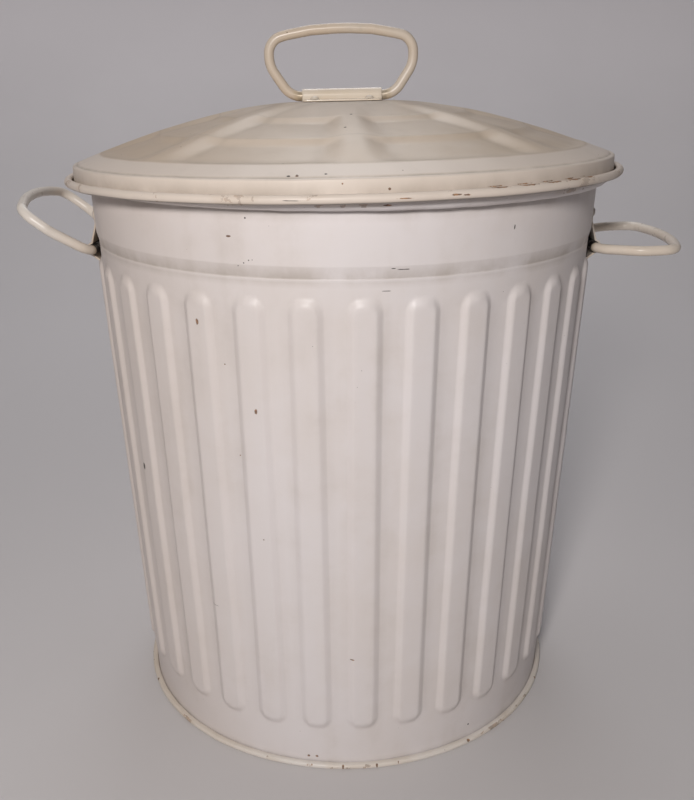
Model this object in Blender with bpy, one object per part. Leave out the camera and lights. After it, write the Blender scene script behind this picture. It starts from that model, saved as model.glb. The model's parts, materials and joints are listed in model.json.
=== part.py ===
"""Ribbed sheet-steel can with a lift-off domed lid and three swinging wire handles.

Metres, +Z up, front towards -Y, origin at the centre of the flat underside.
"""

import math

import bmesh
import bpy
from mathutils import Matrix, Vector

# ---- sheet and clearances -------------------------------------------------
SHEET = 0.0006
BASE_SHEET = 0.0008
STRAP = 0.0010
GAP = 0.0003
BORE_GAP = 0.0006
RIVET_HOLE_GAP = 0.0003

# ---- body ------------------------------------------------------------------
FOOT_RADIUS = 0.1296
NECK_RADIUS = 0.1422
STEP_Z = 0.2849
STEP_RISE = 0.0062
STEP_OUT = 0.0012
BAND_RISE = 0.0293
BAND_FLARE = 0.0014
FOOT_FLANGE = 0.0027

RIB_COUNT = 32
RIB_HEIGHT = 0.0020
RIB_WIDTH = 0.0154
RIB_FLANK = 0.0030
RIB_FOOT_Z = 0.0265
RIB_HEAD_DROP = 0.0091
RIB_DROP_AT_CLIP = 0.0255
RIB_PHASE = math.radians(4.0)

RIM_TUBE_RADIUS = 0.0037
RIM_WIRE_RADIUS = 0.0024

# ---- lid -------------------------------------------------------------------
LID_SHOULDER_Z = 0.0105
LID_APEX_RISE = 0.0297
LID_SHOULDER_ROUND = 0.0012
LID_PAD_RADIUS = 0.0300
LID_DOME_POWER = 1.6
LID_TUBE_RADIUS = 0.0022
LID_TUBE_STAND_OFF = 0.0007
LID_TILT = math.radians(1.5)
LID_RISE_HEADING = math.radians(-55.0)

RIDGE_COUNT = 8
RIDGE_HALF_ANGLE = math.radians(3.75)
RIDGE_PHASE = math.radians(3.0)
TERRACE_FRACTIONS = (0.466, 0.691, 0.907)
TERRACE_DEPTH = 0.0022
TERRACE_RISER = 0.0060

# ---- handles, clips and rivets ----------------------------------------------
HANDLE_WIRE_RADIUS = 0.0028
CLIP_HALF_LENGTH = 0.0226
CLIP_FLANGE = 0.0080
SIDE_AXIS_DROP = 0.0074
SIDE_LOOP_SIZE = (0.0424, 0.0475)
LID_LOOP_SIZE = (0.0408, 0.0355)
LEFT_HANDLE_LIFT = math.radians(37.0)
RIGHT_HANDLE_LIFT = math.radians(2.0)
LOOP_LEG_ROUND = 0.0090
LOOP_CORNER_ROUND = 0.0120
LOOP_CROWN = 0.0012

RIVET_SHANK_RADIUS = 0.0015
RIVET_HEAD_RADIUS = 0.0026
RIVET_HEAD_RISE = 0.0013
RIVET_TAIL_RADIUS = 0.0022
RIVET_TAIL_RISE = 0.0008
RIVET_PITCH_FRACTION = 0.68

# ---- resolution --------------------------------------------------------------
ROUND_STEPS = 2 * RIB_COUNT
WIRE_SIDES = 8
RIVET_SIDES = 8
HOLE_SIDES = 12

# ---- heights and radii that follow from the sizes above -----------------------
BAND_FOOT_Z = STEP_Z + STEP_RISE
RIM_Z = BAND_FOOT_Z + BAND_RISE
BAND_FOOT_RADIUS = NECK_RADIUS + STEP_OUT
BAND_HEAD_RADIUS = BAND_FOOT_RADIUS + BAND_FLARE
RIM_RADIUS = BAND_HEAD_RADIUS - SHEET + RIM_TUBE_RADIUS
RIM_OUTER_RADIUS = RIM_RADIUS + RIM_TUBE_RADIUS
RIB_HEAD_Z = STEP_Z - RIB_HEAD_DROP
FLANGE_MID_Z = BASE_SHEET + GAP + SHEET / 2
FOOT_OUTER_RADIUS = FOOT_RADIUS + FOOT_FLANGE + GAP + BASE_SHEET

SKIRT_RADIUS = RIM_OUTER_RADIUS + BORE_GAP + SHEET
LID_SHOULDER_RADIUS = SKIRT_RADIUS - LID_SHOULDER_ROUND
LID_TUBE_CENTRE = SKIRT_RADIUS + LID_TUBE_STAND_OFF + LID_TUBE_RADIUS
LID_APEX_Z = LID_SHOULDER_Z + LID_APEX_RISE

WIRE_STAND_OFF = HANDLE_WIRE_RADIUS + GAP
STRAP_BEND = HANDLE_WIRE_RADIUS + GAP + STRAP / 2
SIDE_AXIS_Z = STEP_Z - SIDE_AXIS_DROP


def wall_radius(z):
    """Outside radius of the plain tapered wall at height z."""
    return FOOT_RADIUS + (NECK_RADIUS - FOOT_RADIUS) * z / STEP_Z


def band_radius(z):
    """Outside radius of the plain upper band at height z."""
    return BAND_FOOT_RADIUS + BAND_FLARE * (z - BAND_FOOT_Z) / BAND_RISE


SIDE_AXIS_RADIUS = wall_radius(SIDE_AXIS_Z) + WIRE_STAND_OFF


# ---- small mesh helpers ---------------------------------------------------------
def offset_path(points, distance):
    """A polyline moved sideways by distance, to the left of its direction, with mitred corners."""
    moved = []
    for index, point in enumerate(points):
        before = Vector(points[max(index - 1, 0)])
        after = Vector(points[min(index + 1, len(points) - 1)])
        here = Vector(point)
        incoming = (here - before).normalized() if index > 0 else (after - here).normalized()
        outgoing = (after - here).normalized() if index < len(points) - 1 else incoming
        normal_in = Vector((-incoming.y, incoming.x))
        normal_out = Vector((-outgoing.y, outgoing.x))
        mitre = (normal_in + normal_out).normalized()
        moved.append(here + mitre * distance / max(mitre.dot(normal_in), 0.4))
    return moved


def arc(centre, radius, start_degrees, end_degrees, steps):
    """Points on a circle from one angle to another, ends included."""
    points = []
    for step in range(steps + 1):
        angle = math.radians(start_degrees + (end_degrees - start_degrees) * step / steps)
        points.append((centre[0] + radius * math.cos(angle), centre[1] + radius * math.sin(angle)))
    return points


def rounded_corners(points, radii, steps):
    """A polyline with each inner corner replaced by an arc."""
    rounded = [Vector(points[0])]
    for index in range(1, len(points) - 1):
        corner = Vector(points[index])
        back = (Vector(points[index - 1]) - corner).normalized()
        ahead = (Vector(points[index + 1]) - corner).normalized()
        half = back.angle(ahead) / 2
        reach = radii[index - 1] / math.tan(half)
        bisector = (back + ahead).normalized()
        centre = corner + bisector * radii[index - 1] / math.sin(half)
        first = corner + back * reach - centre
        turn = first.angle_signed(corner + ahead * reach - centre)
        for step in range(steps + 1):
            spun = first.copy()
            spun.rotate(Matrix.Rotation(-turn * step / steps, 2))
            rounded.append(centre + spun)
    rounded.append(Vector(points[-1]))
    return rounded


def skin_rows(mesh, lower, upper, flip):
    """Triangles between two closed rings given as (angle, vertex) lists sorted by angle."""
    triangles = []
    if len(lower) == len(upper):
        count = len(lower)
        for index in range(count):
            after = (index + 1) % count
            a, b = lower[index][1], lower[after][1]
            c, d = upper[after][1], upper[index][1]
            triangles.append((a, b, c))
            triangles.append((a, c, d))
    else:
        low = 0
        high = 0
        while low < len(lower) or high < len(upper):
            next_low = lower[(low + 1) % len(lower)][0] + 2 * math.pi * ((low + 1) // len(lower))
            next_high = upper[(high + 1) % len(upper)][0] + 2 * math.pi * ((high + 1) // len(upper))
            a = lower[low % len(lower)][1]
            d = upper[high % len(upper)][1]
            advance_low = high >= len(upper) or (low < len(lower) and next_low <= next_high)
            if advance_low:
                low += 1
                triangles.append((a, lower[low % len(lower)][1], d))
            else:
                high += 1
                triangles.append((a, upper[high % len(upper)][1], d))
    for triangle in triangles:
        mesh.faces.new(reversed(triangle) if flip else triangle)


def finish_object(name, mesh, colour, roughness, metallic, matrix=None):
    """Turn a bmesh into a named object with its own material."""
    bmesh.ops.recalc_face_normals(mesh, faces=mesh.faces)
    data = bpy.data.meshes.new(name)
    mesh.to_mesh(data)
    mesh.free()
    item = bpy.data.objects.new(name, data)
    bpy.context.scene.collection.objects.link(item)
    if matrix is not None:
        item.matrix_world = matrix
    material = bpy.data.materials.new(name)
    material.use_nodes = True
    shader = material.node_tree.nodes["Principled BSDF"]
    shader.inputs["Base Color"].default_value = (*colour, 1.0)
    shader.inputs["Roughness"].default_value = roughness
    shader.inputs["Metallic"].default_value = metallic
    data.materials.append(material)
    return item


def turned_solid(name, section, colour, roughness, metallic, steps):
    """A ring or disc from a closed section; points on the axis become single vertices."""
    mesh = bmesh.new()
    rings = []
    for radius, z in section:
        if radius < 1e-6:
            rings.append(mesh.verts.new((0.0, 0.0, z)))
            continue
        ring = []
        for step in range(steps):
            angle = 2 * math.pi * step / steps
            ring.append(mesh.verts.new((radius * math.cos(angle), radius * math.sin(angle), z)))
        rings.append(ring)
    for index, ring in enumerate(rings):
        following = rings[(index + 1) % len(rings)]
        for step in range(steps):
            after = (step + 1) % steps
            if isinstance(ring, list) and isinstance(following, list):
                mesh.faces.new((ring[step], ring[after], following[after], following[step]))
            elif isinstance(ring, list):
                mesh.faces.new((ring[step], ring[after], following))
            elif isinstance(following, list):
                mesh.faces.new((ring, following[after], following[step]))
    return finish_object(name, mesh, colour, roughness, metallic)


PAINT = (0.78, 0.74, 0.68)
LID_PAINT = (0.77, 0.71, 0.62)
HANDLE_PAINT = (0.78, 0.71, 0.59)
BARE_STEEL = (0.42, 0.40, 0.38)


# ---- body shell ------------------------------------------------------------------
def rib_row(z, apex_z, foot_z, centre_angle):
    """Columns of one rib at height z as (angle, lift): its two flanks, then the middle of the panel beside it."""
    half = RIB_WIDTH / 2
    from_end = min(apex_z - z, z - foot_z)
    inner_half = half - RIB_FLANK
    if from_end < RIB_FLANK * 0.5:
        foot_half = RIB_WIDTH * 0.14
        top_half = RIB_WIDTH * 0.05
        lift = 0.0
    else:
        foot_half = math.sqrt(half**2 - max(half - from_end, 0.0) ** 2)
        top_half = math.sqrt(max(inner_half**2 - max(half - from_end, 0.0) ** 2, (0.2 * inner_half) ** 2))
        lift = RIB_HEIGHT
    radius = wall_radius(z)
    return [
        (centre_angle - foot_half / radius, 0.0),
        (centre_angle - top_half / radius, lift),
        (centre_angle + top_half / radius, lift),
        (centre_angle + foot_half / radius, 0.0),
        (centre_angle + math.pi / RIB_COUNT, 0.0),
    ]


def near_clip(angle):
    """True where a rib would run under a side clip."""
    reach = (CLIP_HALF_LENGTH + RIB_WIDTH / 2 + 0.002) / SIDE_AXIS_RADIUS
    side = min(abs(math.remainder(angle - heading, 2 * math.pi)) for heading in (0.0, math.pi))
    return side < reach


def body_section():
    """Mid-sheet path of the body: (radius, z, rib row), from the foot flange to the end of the rim curl."""
    mid = SHEET / 2
    wall_mid = RIM_TUBE_RADIUS - mid
    path = [
        (wall_radius(FLANGE_MID_Z) + FOOT_FLANGE - mid, FLANGE_MID_Z, None),
        (wall_radius(FLANGE_MID_Z) - mid, FLANGE_MID_Z, None),
    ]
    half = RIB_WIDTH / 2
    for distance in (0.0, RIB_FLANK, half):
        path.append((wall_radius(RIB_FOOT_Z + distance) - mid, RIB_FOOT_Z + distance, distance))
    for distance in (half, RIB_FLANK, 0.0):
        path.append((wall_radius(RIB_HEAD_Z - distance) - mid, RIB_HEAD_Z - distance, -distance - 1e-9))
    path.append((wall_radius(STEP_Z) - mid, STEP_Z, None))
    path.append((BAND_FOOT_RADIUS - mid, BAND_FOOT_Z, None))
    for radius, z in arc((RIM_RADIUS, RIM_Z), wall_mid, 180, -130, 7):
        path.append((radius, z, None))
    return path


def make_body_shell():
    mesh = bmesh.new()
    path = body_section()
    flat = [(radius, z) for radius, z, _ in path]
    sides = {side: offset_path(flat, side * SHEET / 2) for side in (1, -1)}
    start = -math.pi / 2 + RIB_PHASE
    rows = {1: [], -1: []}
    for side in (1, -1):
        for (_, z, rib), moved in zip(path, sides[side]):
            row = []
            for index in range(RIB_COUNT):
                centre = start + 2 * math.pi * index / RIB_COUNT
                if rib is None:
                    for part in (0.0, 0.5):
                        angle = centre + 2 * math.pi * part / RIB_COUNT
                        spot = (moved.x * math.cos(angle), moved.x * math.sin(angle), moved.y)
                        row.append((angle - start, mesh.verts.new(spot)))
                    continue
                drop = RIB_DROP_AT_CLIP - RIB_HEAD_DROP if rib < 0 and near_clip(centre) else 0.0
                inward = wall_radius(z) - wall_radius(z - drop)
                for angle, lift in rib_row(z, RIB_HEAD_Z, RIB_FOOT_Z, centre):
                    radius = moved.x - inward + lift
                    spot = (radius * math.cos(angle), radius * math.sin(angle), moved.y - drop)
                    row.append((angle - start, mesh.verts.new(spot)))
            row.sort(key=lambda pair: pair[0])
            rows[side].append(row)
    for side in (1, -1):
        for lower, upper in zip(rows[side][:-1], rows[side][1:]):
            skin_rows(mesh, lower, upper, side == 1)
    skin_rows(mesh, rows[1][0], rows[-1][0], False)
    skin_rows(mesh, rows[1][-1], rows[-1][-1], True)
    return finish_object("body_shell", mesh, PAINT, 0.42, 0.0)


def make_rim_wire():
    section = []
    for radius, z in arc((RIM_RADIUS, RIM_Z), RIM_WIRE_RADIUS, 0, 300, 5):
        section.append((radius, z))
    wire = turned_solid("rim_wire", section, BARE_STEEL, 0.45, 1.0, ROUND_STEPS)
    wire.data.transform(Matrix.Rotation(-math.pi / 2 + RIB_PHASE, 4, "Z"))
    return wire


def make_base_pan():
    lip_top = FLANGE_MID_Z + SHEET / 2 + GAP + BASE_SHEET
    lip_reach = wall_radius(lip_top) + GAP + 0.0002
    outer = FOOT_OUTER_RADIUS
    bevel = BASE_SHEET * 0.9
    section = [
        (0.0, 0.0),
        (outer - bevel, 0.0),
        (outer, bevel),
        (outer, lip_top - bevel),
        (outer - bevel, lip_top),
        (lip_reach, lip_top),
        (lip_reach, lip_top - BASE_SHEET),
        (outer - BASE_SHEET, lip_top - BASE_SHEET),
        (outer - BASE_SHEET, BASE_SHEET),
        (0.0, BASE_SHEET),
    ]
    pan = turned_solid("base_pan", section, PAINT, 0.45, 0.0, ROUND_STEPS)
    pan.data.transform(Matrix.Rotation(-math.pi / 2 + RIB_PHASE, 4, "Z"))
    return pan


# ---- lid -----------------------------------------------------------------------------
def dome_z(radius):
    """Height of the smooth dome over the lid's lower edge."""
    span = LID_SHOULDER_RADIUS - LID_PAD_RADIUS
    share = min(max((radius - LID_PAD_RADIUS) / span, 0.0), 1.0)
    return LID_APEX_Z - LID_APEX_RISE * share**LID_DOME_POWER


def lid_top_rows():
    """(radius, ridge z, panel z) for each ring of the dome, from the pad out to the shoulder."""
    lines = [LID_SHOULDER_RADIUS * fraction for fraction in TERRACE_FRACTIONS]
    rows = [(LID_PAD_RADIUS, LID_APEX_Z, LID_APEX_Z)]
    middle = (LID_PAD_RADIUS + lines[0]) / 2
    rows.append((middle, dome_z(middle), dome_z(middle)))
    for line in lines[:-1]:
        foot = line + TERRACE_RISER
        rows.append((line, dome_z(line), dome_z(line)))
        rows.append((foot, dome_z(foot), dome_z(foot) - TERRACE_DEPTH))
    for line in (lines[-1], LID_SHOULDER_RADIUS):
        rows.append((line, dome_z(line), dome_z(line)))
    return rows


def lid_edge_path():
    """Mid-sheet path from the shoulder down the skirt and round the curl."""
    mid = SHEET / 2
    tube = LID_TUBE_RADIUS - mid
    skirt = SKIRT_RADIUS - mid
    path = [(skirt, LID_SHOULDER_Z - LID_SHOULDER_ROUND - mid), (skirt, LID_TUBE_RADIUS)]
    path.append((skirt + tube * 0.3, mid + tube * 0.3))
    path.extend(arc((LID_TUBE_CENTRE, LID_TUBE_RADIUS), tube, -90, 150, 5))
    return path


def make_lid_shell(matrix):
    mesh = bmesh.new()
    spread = [0.0, RIDGE_HALF_ANGLE]
    period = 2 * math.pi / RIDGE_COUNT
    panels = 5
    for step in range(1, panels + 1):
        spread.append(RIDGE_HALF_ANGLE + (period - 2 * RIDGE_HALF_ANGLE) * step / panels)
    start = -math.pi / 2 + RIDGE_PHASE
    angles = []
    for ridge in range(RIDGE_COUNT):
        for number, offset in enumerate(spread):
            angles.append((ridge * period + offset, number == 0))
    top = lid_top_rows()
    edge = lid_edge_path()
    edge_sides = {side: offset_path(edge, side * SHEET / 2) for side in (1, -1)}
    rows = {}
    poles = {}
    for side in (1, -1):
        drop = 0.0 if side == 1 else SHEET
        poles[side] = mesh.verts.new((0.0, 0.0, LID_APEX_Z - drop))
        rows[side] = []
        for radius, ridge_z, panel_z in top:
            row = []
            for angle, on_ridge in angles:
                z = (ridge_z if on_ridge else panel_z) - drop
                heading = start + angle
                reach = radius - (0.3 * drop if radius > LID_PAD_RADIUS else 0.0)
                spot = (reach * math.cos(heading), reach * math.sin(heading), z)
                row.append((angle, mesh.verts.new(spot)))
            rows[side].append(row)
        for point in edge_sides[side]:
            row = []
            for angle, _ in angles:
                heading = start + angle
                spot = (point.x * math.cos(heading), point.x * math.sin(heading), point.y)
                row.append((angle, mesh.verts.new(spot)))
            rows[side].append(row)
    for side in (1, -1):
        first = rows[side][0]
        for index, (_, vertex) in enumerate(first):
            after = first[(index + 1) % len(first)][1]
            fan = (poles[side], vertex, after)
            mesh.faces.new(fan if side == 1 else reversed(fan))
        for upper, lower in zip(rows[side][:-1], rows[side][1:]):
            skin_rows(mesh, lower, upper, side == -1)
    skin_rows(mesh, rows[1][-1], rows[-1][-1], True)
    return finish_object("lid_shell", mesh, LID_PAINT, 0.40, 0.0, matrix)


def lid_matrix():
    """Places the lid: it rests on the rim at the back left, and its front right is raised by the tilt."""
    slope_run = 0.002
    slope = (dome_z(RIM_RADIUS) - dome_z(RIM_RADIUS + slope_run)) / slope_run
    steepness = math.atan(slope)
    under = dome_z(RIM_RADIUS) - SHEET / math.cos(steepness)
    seat_z = RIM_Z + (RIM_TUBE_RADIUS + 1.4 * GAP) / math.cos(steepness)
    level = Matrix.Translation((0.0, 0.0, seat_z - under))
    rise = Vector((math.cos(LID_RISE_HEADING), math.sin(LID_RISE_HEADING), 0.0))
    pivot = -rise * RIM_RADIUS + Vector((0.0, 0.0, seat_z))
    tilt = Matrix.Rotation(LID_TILT, 4, rise.cross(Vector((0.0, 0.0, 1.0))))
    return Matrix.Translation(pivot) @ tilt @ Matrix.Translation(-pivot) @ level


# ---- wire handles -------------------------------------------------------------------------
def loop_centreline(half_width, height):
    """Half of a wire loop's centreline mirrored into a whole, in (along the hinge, away from it)."""
    knee = CLIP_HALF_LENGTH + LOOP_LEG_ROUND * 0.6
    corner = (half_width + 0.0072, height - 0.0050)
    corners = [(0.0015, 0.0), (knee, 0.0), corner, (0.0, height + LOOP_CROWN)]
    half = rounded_corners(corners, (LOOP_LEG_ROUND, LOOP_CORNER_ROUND), 5)[:-1]
    widest = max(point.x for point in half)
    highest = max(point.y for point in half)
    clear = CLIP_HALF_LENGTH + 0.0012
    shaped = []
    for point in half:
        along = point.x
        if along > clear:
            along = clear + (along - clear) * (half_width - clear) / (widest - clear)
        shaped.append(Vector((along, point.y * height / highest)))
    mirrored = [Vector((-point.x, point.y)) for point in reversed(shaped)]
    return shaped + mirrored


def make_handle(name, size, matrix, colour):
    mesh = bmesh.new()
    line = loop_centreline(*size)
    rings = []
    for index, point in enumerate(line):
        before = line[max(index - 1, 0)]
        after = line[min(index + 1, len(line) - 1)]
        ahead = (after - before).normalized()
        aside = Vector((-ahead.y, ahead.x, 0.0))
        ring = []
        for step in range(WIRE_SIDES):
            angle = 2 * math.pi * (step + 0.5) / WIRE_SIDES
            spot = point.to_3d() + aside * (HANDLE_WIRE_RADIUS * math.cos(angle))
            spot.z += HANDLE_WIRE_RADIUS * math.sin(angle)
            ring.append(mesh.verts.new(spot))
        rings.append(ring)
    for ring, following in zip(rings[:-1], rings[1:]):
        for step in range(WIRE_SIDES):
            after = (step + 1) % WIRE_SIDES
            mesh.faces.new((ring[step], ring[after], following[after], following[step]))
    mesh.faces.new(rings[0])
    mesh.faces.new(reversed(rings[-1]))
    return finish_object(name, mesh, colour, 0.32, 0.0, matrix)


# ---- strap clips ----------------------------------------------------------------------------
def make_clip(name, path, follows, bend_radius, place, colour):
    """A strap of constant thickness swept along the hinge; follows says how far each point keeps to the wall."""
    mesh = bmesh.new()
    stations = 7
    sections = []
    for station in range(stations):
        along = CLIP_HALF_LENGTH * (2 * station / (stations - 1) - 1)
        sag = bend_radius - math.sqrt(bend_radius**2 - along**2) if bend_radius else 0.0
        section = {}
        for side in (1, -1):
            section[side] = []
            for point, share in zip(offset_path(path, side * STRAP / 2), follows):
                spot = place @ Vector((point.x - sag * share, along, point.y))
                section[side].append(mesh.verts.new(spot))
        sections.append(section)
    count = len(path)
    for section, following in zip(sections[:-1], sections[1:]):
        for side in (1, -1):
            a, b = section[side], following[side]
            for index in range(count - 1):
                mesh.faces.new((a[index], a[index + 1], b[index + 1], b[index]))
        for index in (0, count - 1):
            mesh.faces.new((section[1][index], section[-1][index], following[-1][index], following[1][index]))
    for section in (sections[0], sections[-1]):
        for index in range(count - 1):
            a, b = section[1], section[-1]
            mesh.faces.new((a[index], a[index + 1], b[index + 1], b[index]))
    return finish_object(name, mesh, colour, 0.35, 0.0)


def side_frame(heading):
    """Axes at a side of the can: local X outwards, local Y along the hinge, local Z up."""
    return Matrix.Rotation(heading, 4, "Z")


def side_clip_path():
    """Mid-strap path of a side clip in (radius, z): lower flange, wrap round the wire, upper flange."""
    off = GAP + STRAP / 2
    lower_top = SIDE_AXIS_Z - STRAP_BEND - 0.0040
    lower_foot = lower_top - CLIP_FLANGE
    upper_foot = BAND_FOOT_Z + 0.0012
    upper_top = upper_foot + CLIP_FLANGE
    centre = (SIDE_AXIS_RADIUS, SIDE_AXIS_Z)
    path = [(wall_radius(lower_foot) + off, lower_foot), (wall_radius(lower_top) + off, lower_top)]
    wrap = arc(centre, STRAP_BEND, -78, 78, 6)
    path.extend(wrap)
    path.append((band_radius(upper_foot) + off, upper_foot))
    path.append((band_radius(upper_top) + off, upper_top))
    follows = [1.0, 1.0] + [0.0] * len(wrap) + [1.0, 1.0]
    spots = ((lower_foot + lower_top) / 2, (upper_foot + upper_top) / 2)
    return path, follows, spots


def lid_clip_path():
    """Mid-strap path of the lid clip in (across, height over the lid's edge)."""
    off = GAP + STRAP / 2
    inner = STRAP_BEND + 0.0020
    outer = inner + CLIP_FLANGE
    low = LID_APEX_Z + off
    wrap = arc((0.0, LID_APEX_Z + WIRE_STAND_OFF), STRAP_BEND, 168, 12, 8)
    path = [(-outer, low), (-inner, low), *wrap, (inner, low), (outer, low)]
    return path, (inner + outer) / 2


def make_rivet(name, matrix, grip, colour):
    """A domed rivet whose head sits on the strap at local z = 0 and whose tail is under the sheet."""
    head = GAP * 0.7
    tail = -grip - GAP * 0.7
    profile = [
        (0.0, head + RIVET_HEAD_RISE),
        (RIVET_HEAD_RADIUS * 0.62, head + RIVET_HEAD_RISE * 0.80),
        (RIVET_HEAD_RADIUS, head + RIVET_HEAD_RISE * 0.22),
        (RIVET_HEAD_RADIUS, head),
        (RIVET_SHANK_RADIUS, head),
        (RIVET_SHANK_RADIUS, tail),
        (RIVET_TAIL_RADIUS, tail),
        (RIVET_TAIL_RADIUS, tail - RIVET_TAIL_RISE * 0.7),
        (0.0, tail - RIVET_TAIL_RISE),
    ]
    rivet = turned_solid(name, profile, colour, 0.35, 0.0, RIVET_SIDES)
    rivet.matrix_world = matrix
    return rivet


def drill(target, name, matrix):
    """Cut a clear round hole through a sheet or strap at a rivet's place."""
    mesh = bmesh.new()
    length = 0.0080
    bmesh.ops.create_cone(
        mesh,
        cap_ends=True,
        segments=HOLE_SIDES,
        radius1=RIVET_SHANK_RADIUS + RIVET_HOLE_GAP,
        radius2=RIVET_SHANK_RADIUS + RIVET_HOLE_GAP,
        depth=length,
        matrix=Matrix.Translation((0.0, 0.0, -0.0010)),
    )
    data = bpy.data.meshes.new(name)
    mesh.to_mesh(data)
    mesh.free()
    cutter = bpy.data.objects.new(name, data)
    bpy.context.scene.collection.objects.link(cutter)
    cutter.matrix_world = matrix
    cutter.hide_render = True
    cutter.display_type = "WIRE"
    cut = target.modifiers.new(name, "BOOLEAN")
    cut.operation = "DIFFERENCE"
    cut.solver = "EXACT"
    cut.object = cutter


def outward_matrix(point, direction):
    """A frame at a point whose local Z runs along a direction."""
    turn = direction.to_track_quat("Z", "Y").to_matrix().to_4x4()
    return Matrix.Translation(point) @ turn


def make_side(prefix, heading, lift, body):
    frame = side_frame(heading)
    path, follows, rivet_heights = side_clip_path()
    clip = make_clip(prefix + "_handle_clip", path, follows, BAND_FOOT_RADIUS, frame, PAINT)
    hinge = frame @ Matrix.Translation((SIDE_AXIS_RADIUS, 0.0, SIDE_AXIS_Z))
    # Local X of the loop runs along the hinge and local Y away from it.
    loop_axes = Matrix(((0.0, 1.0, 0.0, 0.0), (1.0, 0.0, 0.0, 0.0), (0.0, 0.0, -1.0, 0.0), (0.0, 0.0, 0.0, 1.0)))
    raised = hinge @ Matrix.Rotation(-lift, 4, "Y") @ loop_axes
    make_handle(prefix + "_handle", SIDE_LOOP_SIZE, raised, HANDLE_PAINT)
    wall_taper = math.atan((NECK_RADIUS - FOOT_RADIUS) / STEP_Z)
    band_taper = math.atan(BAND_FLARE / BAND_RISE)
    number = 0
    for z, surface, taper in zip(rivet_heights, (wall_radius, band_radius), (wall_taper, band_taper)):
        for side in (-1, 1):
            number += 1
            radius = surface(z) + GAP + STRAP
            swing = math.asin(side * CLIP_HALF_LENGTH * RIVET_PITCH_FRACTION / BAND_FOOT_RADIUS)
            outward = Vector((math.cos(swing) * math.cos(taper), math.sin(swing) * math.cos(taper), -math.sin(taper)))
            foot = Vector((radius * math.cos(swing), radius * math.sin(swing), z))
            place = frame @ outward_matrix(foot, outward)
            make_rivet(f"{prefix}_clip_rivet_{number}", place, STRAP + GAP + SHEET, PAINT)
            drill(clip, f"cut_{prefix}_strap_{number}", place)
            drill(body, f"cut_{prefix}_wall_{number}", place)


def make_lid():
    matrix = lid_matrix()
    shell = make_lid_shell(matrix)
    path, across = lid_clip_path()
    # The strap runs along the lid's X, so its section lies across it.
    turned = matrix @ Matrix.Rotation(-math.pi / 2, 4, "Z")
    clip = make_clip("lid_handle_clip", path, [0.0] * len(path), 0.0, turned, LID_PAINT)
    upright = Matrix(((1.0, 0.0, 0.0, 0.0), (0.0, 0.0, -1.0, 0.0), (0.0, 1.0, 0.0, 0.0), (0.0, 0.0, 0.0, 1.0)))
    hinge = matrix @ Matrix.Translation((0.0, 0.0, LID_APEX_Z + WIRE_STAND_OFF)) @ upright
    make_handle("lid_handle", LID_LOOP_SIZE, hinge, HANDLE_PAINT)
    number = 0
    for y in (-across, across):
        for x in (-1, 1):
            number += 1
            spot = Vector((x * CLIP_HALF_LENGTH * RIVET_PITCH_FRACTION, y, LID_APEX_Z + GAP + STRAP))
            place = matrix @ Matrix.Translation(spot)
            make_rivet(f"lid_clip_rivet_{number}", place, STRAP + GAP + SHEET, LID_PAINT)
            drill(clip, f"cut_lid_strap_{number}", place)
            drill(shell, f"cut_lid_sheet_{number}", place)


def build():
    for item in list(bpy.data.objects):
        bpy.data.objects.remove(item)
    body = make_body_shell()
    make_rim_wire()
    make_base_pan()
    make_side("right", 0.0, RIGHT_HANDLE_LIFT, body)
    make_side("left", math.pi, LEFT_HANDLE_LIFT, body)
    make_lid()


build()
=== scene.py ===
"""Looks for a ribbed sheet-steel can with a lift-off domed lid and three swinging wire handles.

Metres, +Z up, front towards -Y, origin at the centre of the flat underside. Headings are in
degrees from the front of the can, towards its right-hand handle.
"""

import json
import math

import bmesh
import bpy
from mathutils import Matrix, Vector, noise


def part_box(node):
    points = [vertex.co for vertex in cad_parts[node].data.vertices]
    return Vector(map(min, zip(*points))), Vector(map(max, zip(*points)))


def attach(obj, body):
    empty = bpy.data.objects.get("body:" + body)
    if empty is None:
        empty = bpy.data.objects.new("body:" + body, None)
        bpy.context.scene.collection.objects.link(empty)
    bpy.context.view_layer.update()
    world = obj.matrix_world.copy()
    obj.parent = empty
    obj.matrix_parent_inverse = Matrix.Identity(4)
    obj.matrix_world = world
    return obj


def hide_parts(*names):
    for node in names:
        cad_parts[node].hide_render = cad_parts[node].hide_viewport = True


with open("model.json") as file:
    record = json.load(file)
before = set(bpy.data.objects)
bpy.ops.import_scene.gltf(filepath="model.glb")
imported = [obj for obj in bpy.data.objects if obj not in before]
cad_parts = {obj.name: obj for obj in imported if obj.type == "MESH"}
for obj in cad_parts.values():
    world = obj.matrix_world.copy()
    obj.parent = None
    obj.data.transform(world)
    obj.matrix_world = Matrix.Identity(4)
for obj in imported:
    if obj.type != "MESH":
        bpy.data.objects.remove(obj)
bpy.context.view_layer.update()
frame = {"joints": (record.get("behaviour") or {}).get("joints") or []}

UP = Vector((0.0, 0.0, 1.0))
JOINTS = {joint["name"]: joint for joint in frame["joints"]}

# ---- sheet, wall and ribs --------------------------------------------------
SHEET = 0.0006
BASE_SHEET = 0.0008
STRAP = 0.0010
GAP = 0.0003
FOOT_RADIUS = 0.1296
NECK_RADIUS = 0.1422
STEP_Z = 0.2849
BAND_FOOT_Z = 0.2911
BAND_FOOT_RADIUS = 0.1434
BAND_HEAD_RADIUS = 0.1448
RIM_TUBE_RADIUS = 0.0037
RIM_RADIUS = BAND_HEAD_RADIUS - SHEET + RIM_TUBE_RADIUS
RIM_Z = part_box("body_shell")[1].z - RIM_TUBE_RADIUS
RIM_WIRE_RADIUS = 0.0024

RIB_COUNT = 32
RIB_PITCH = 360.0 / RIB_COUNT
RIB_HEIGHT = 0.0020
RIB_WIDTH = 0.0182
RIB_FLANK = 0.0042
RIB_FOOT_Z = 0.0255
RIB_HEAD_Z = 0.2768
RIB_PHASE = 4.0
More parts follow.
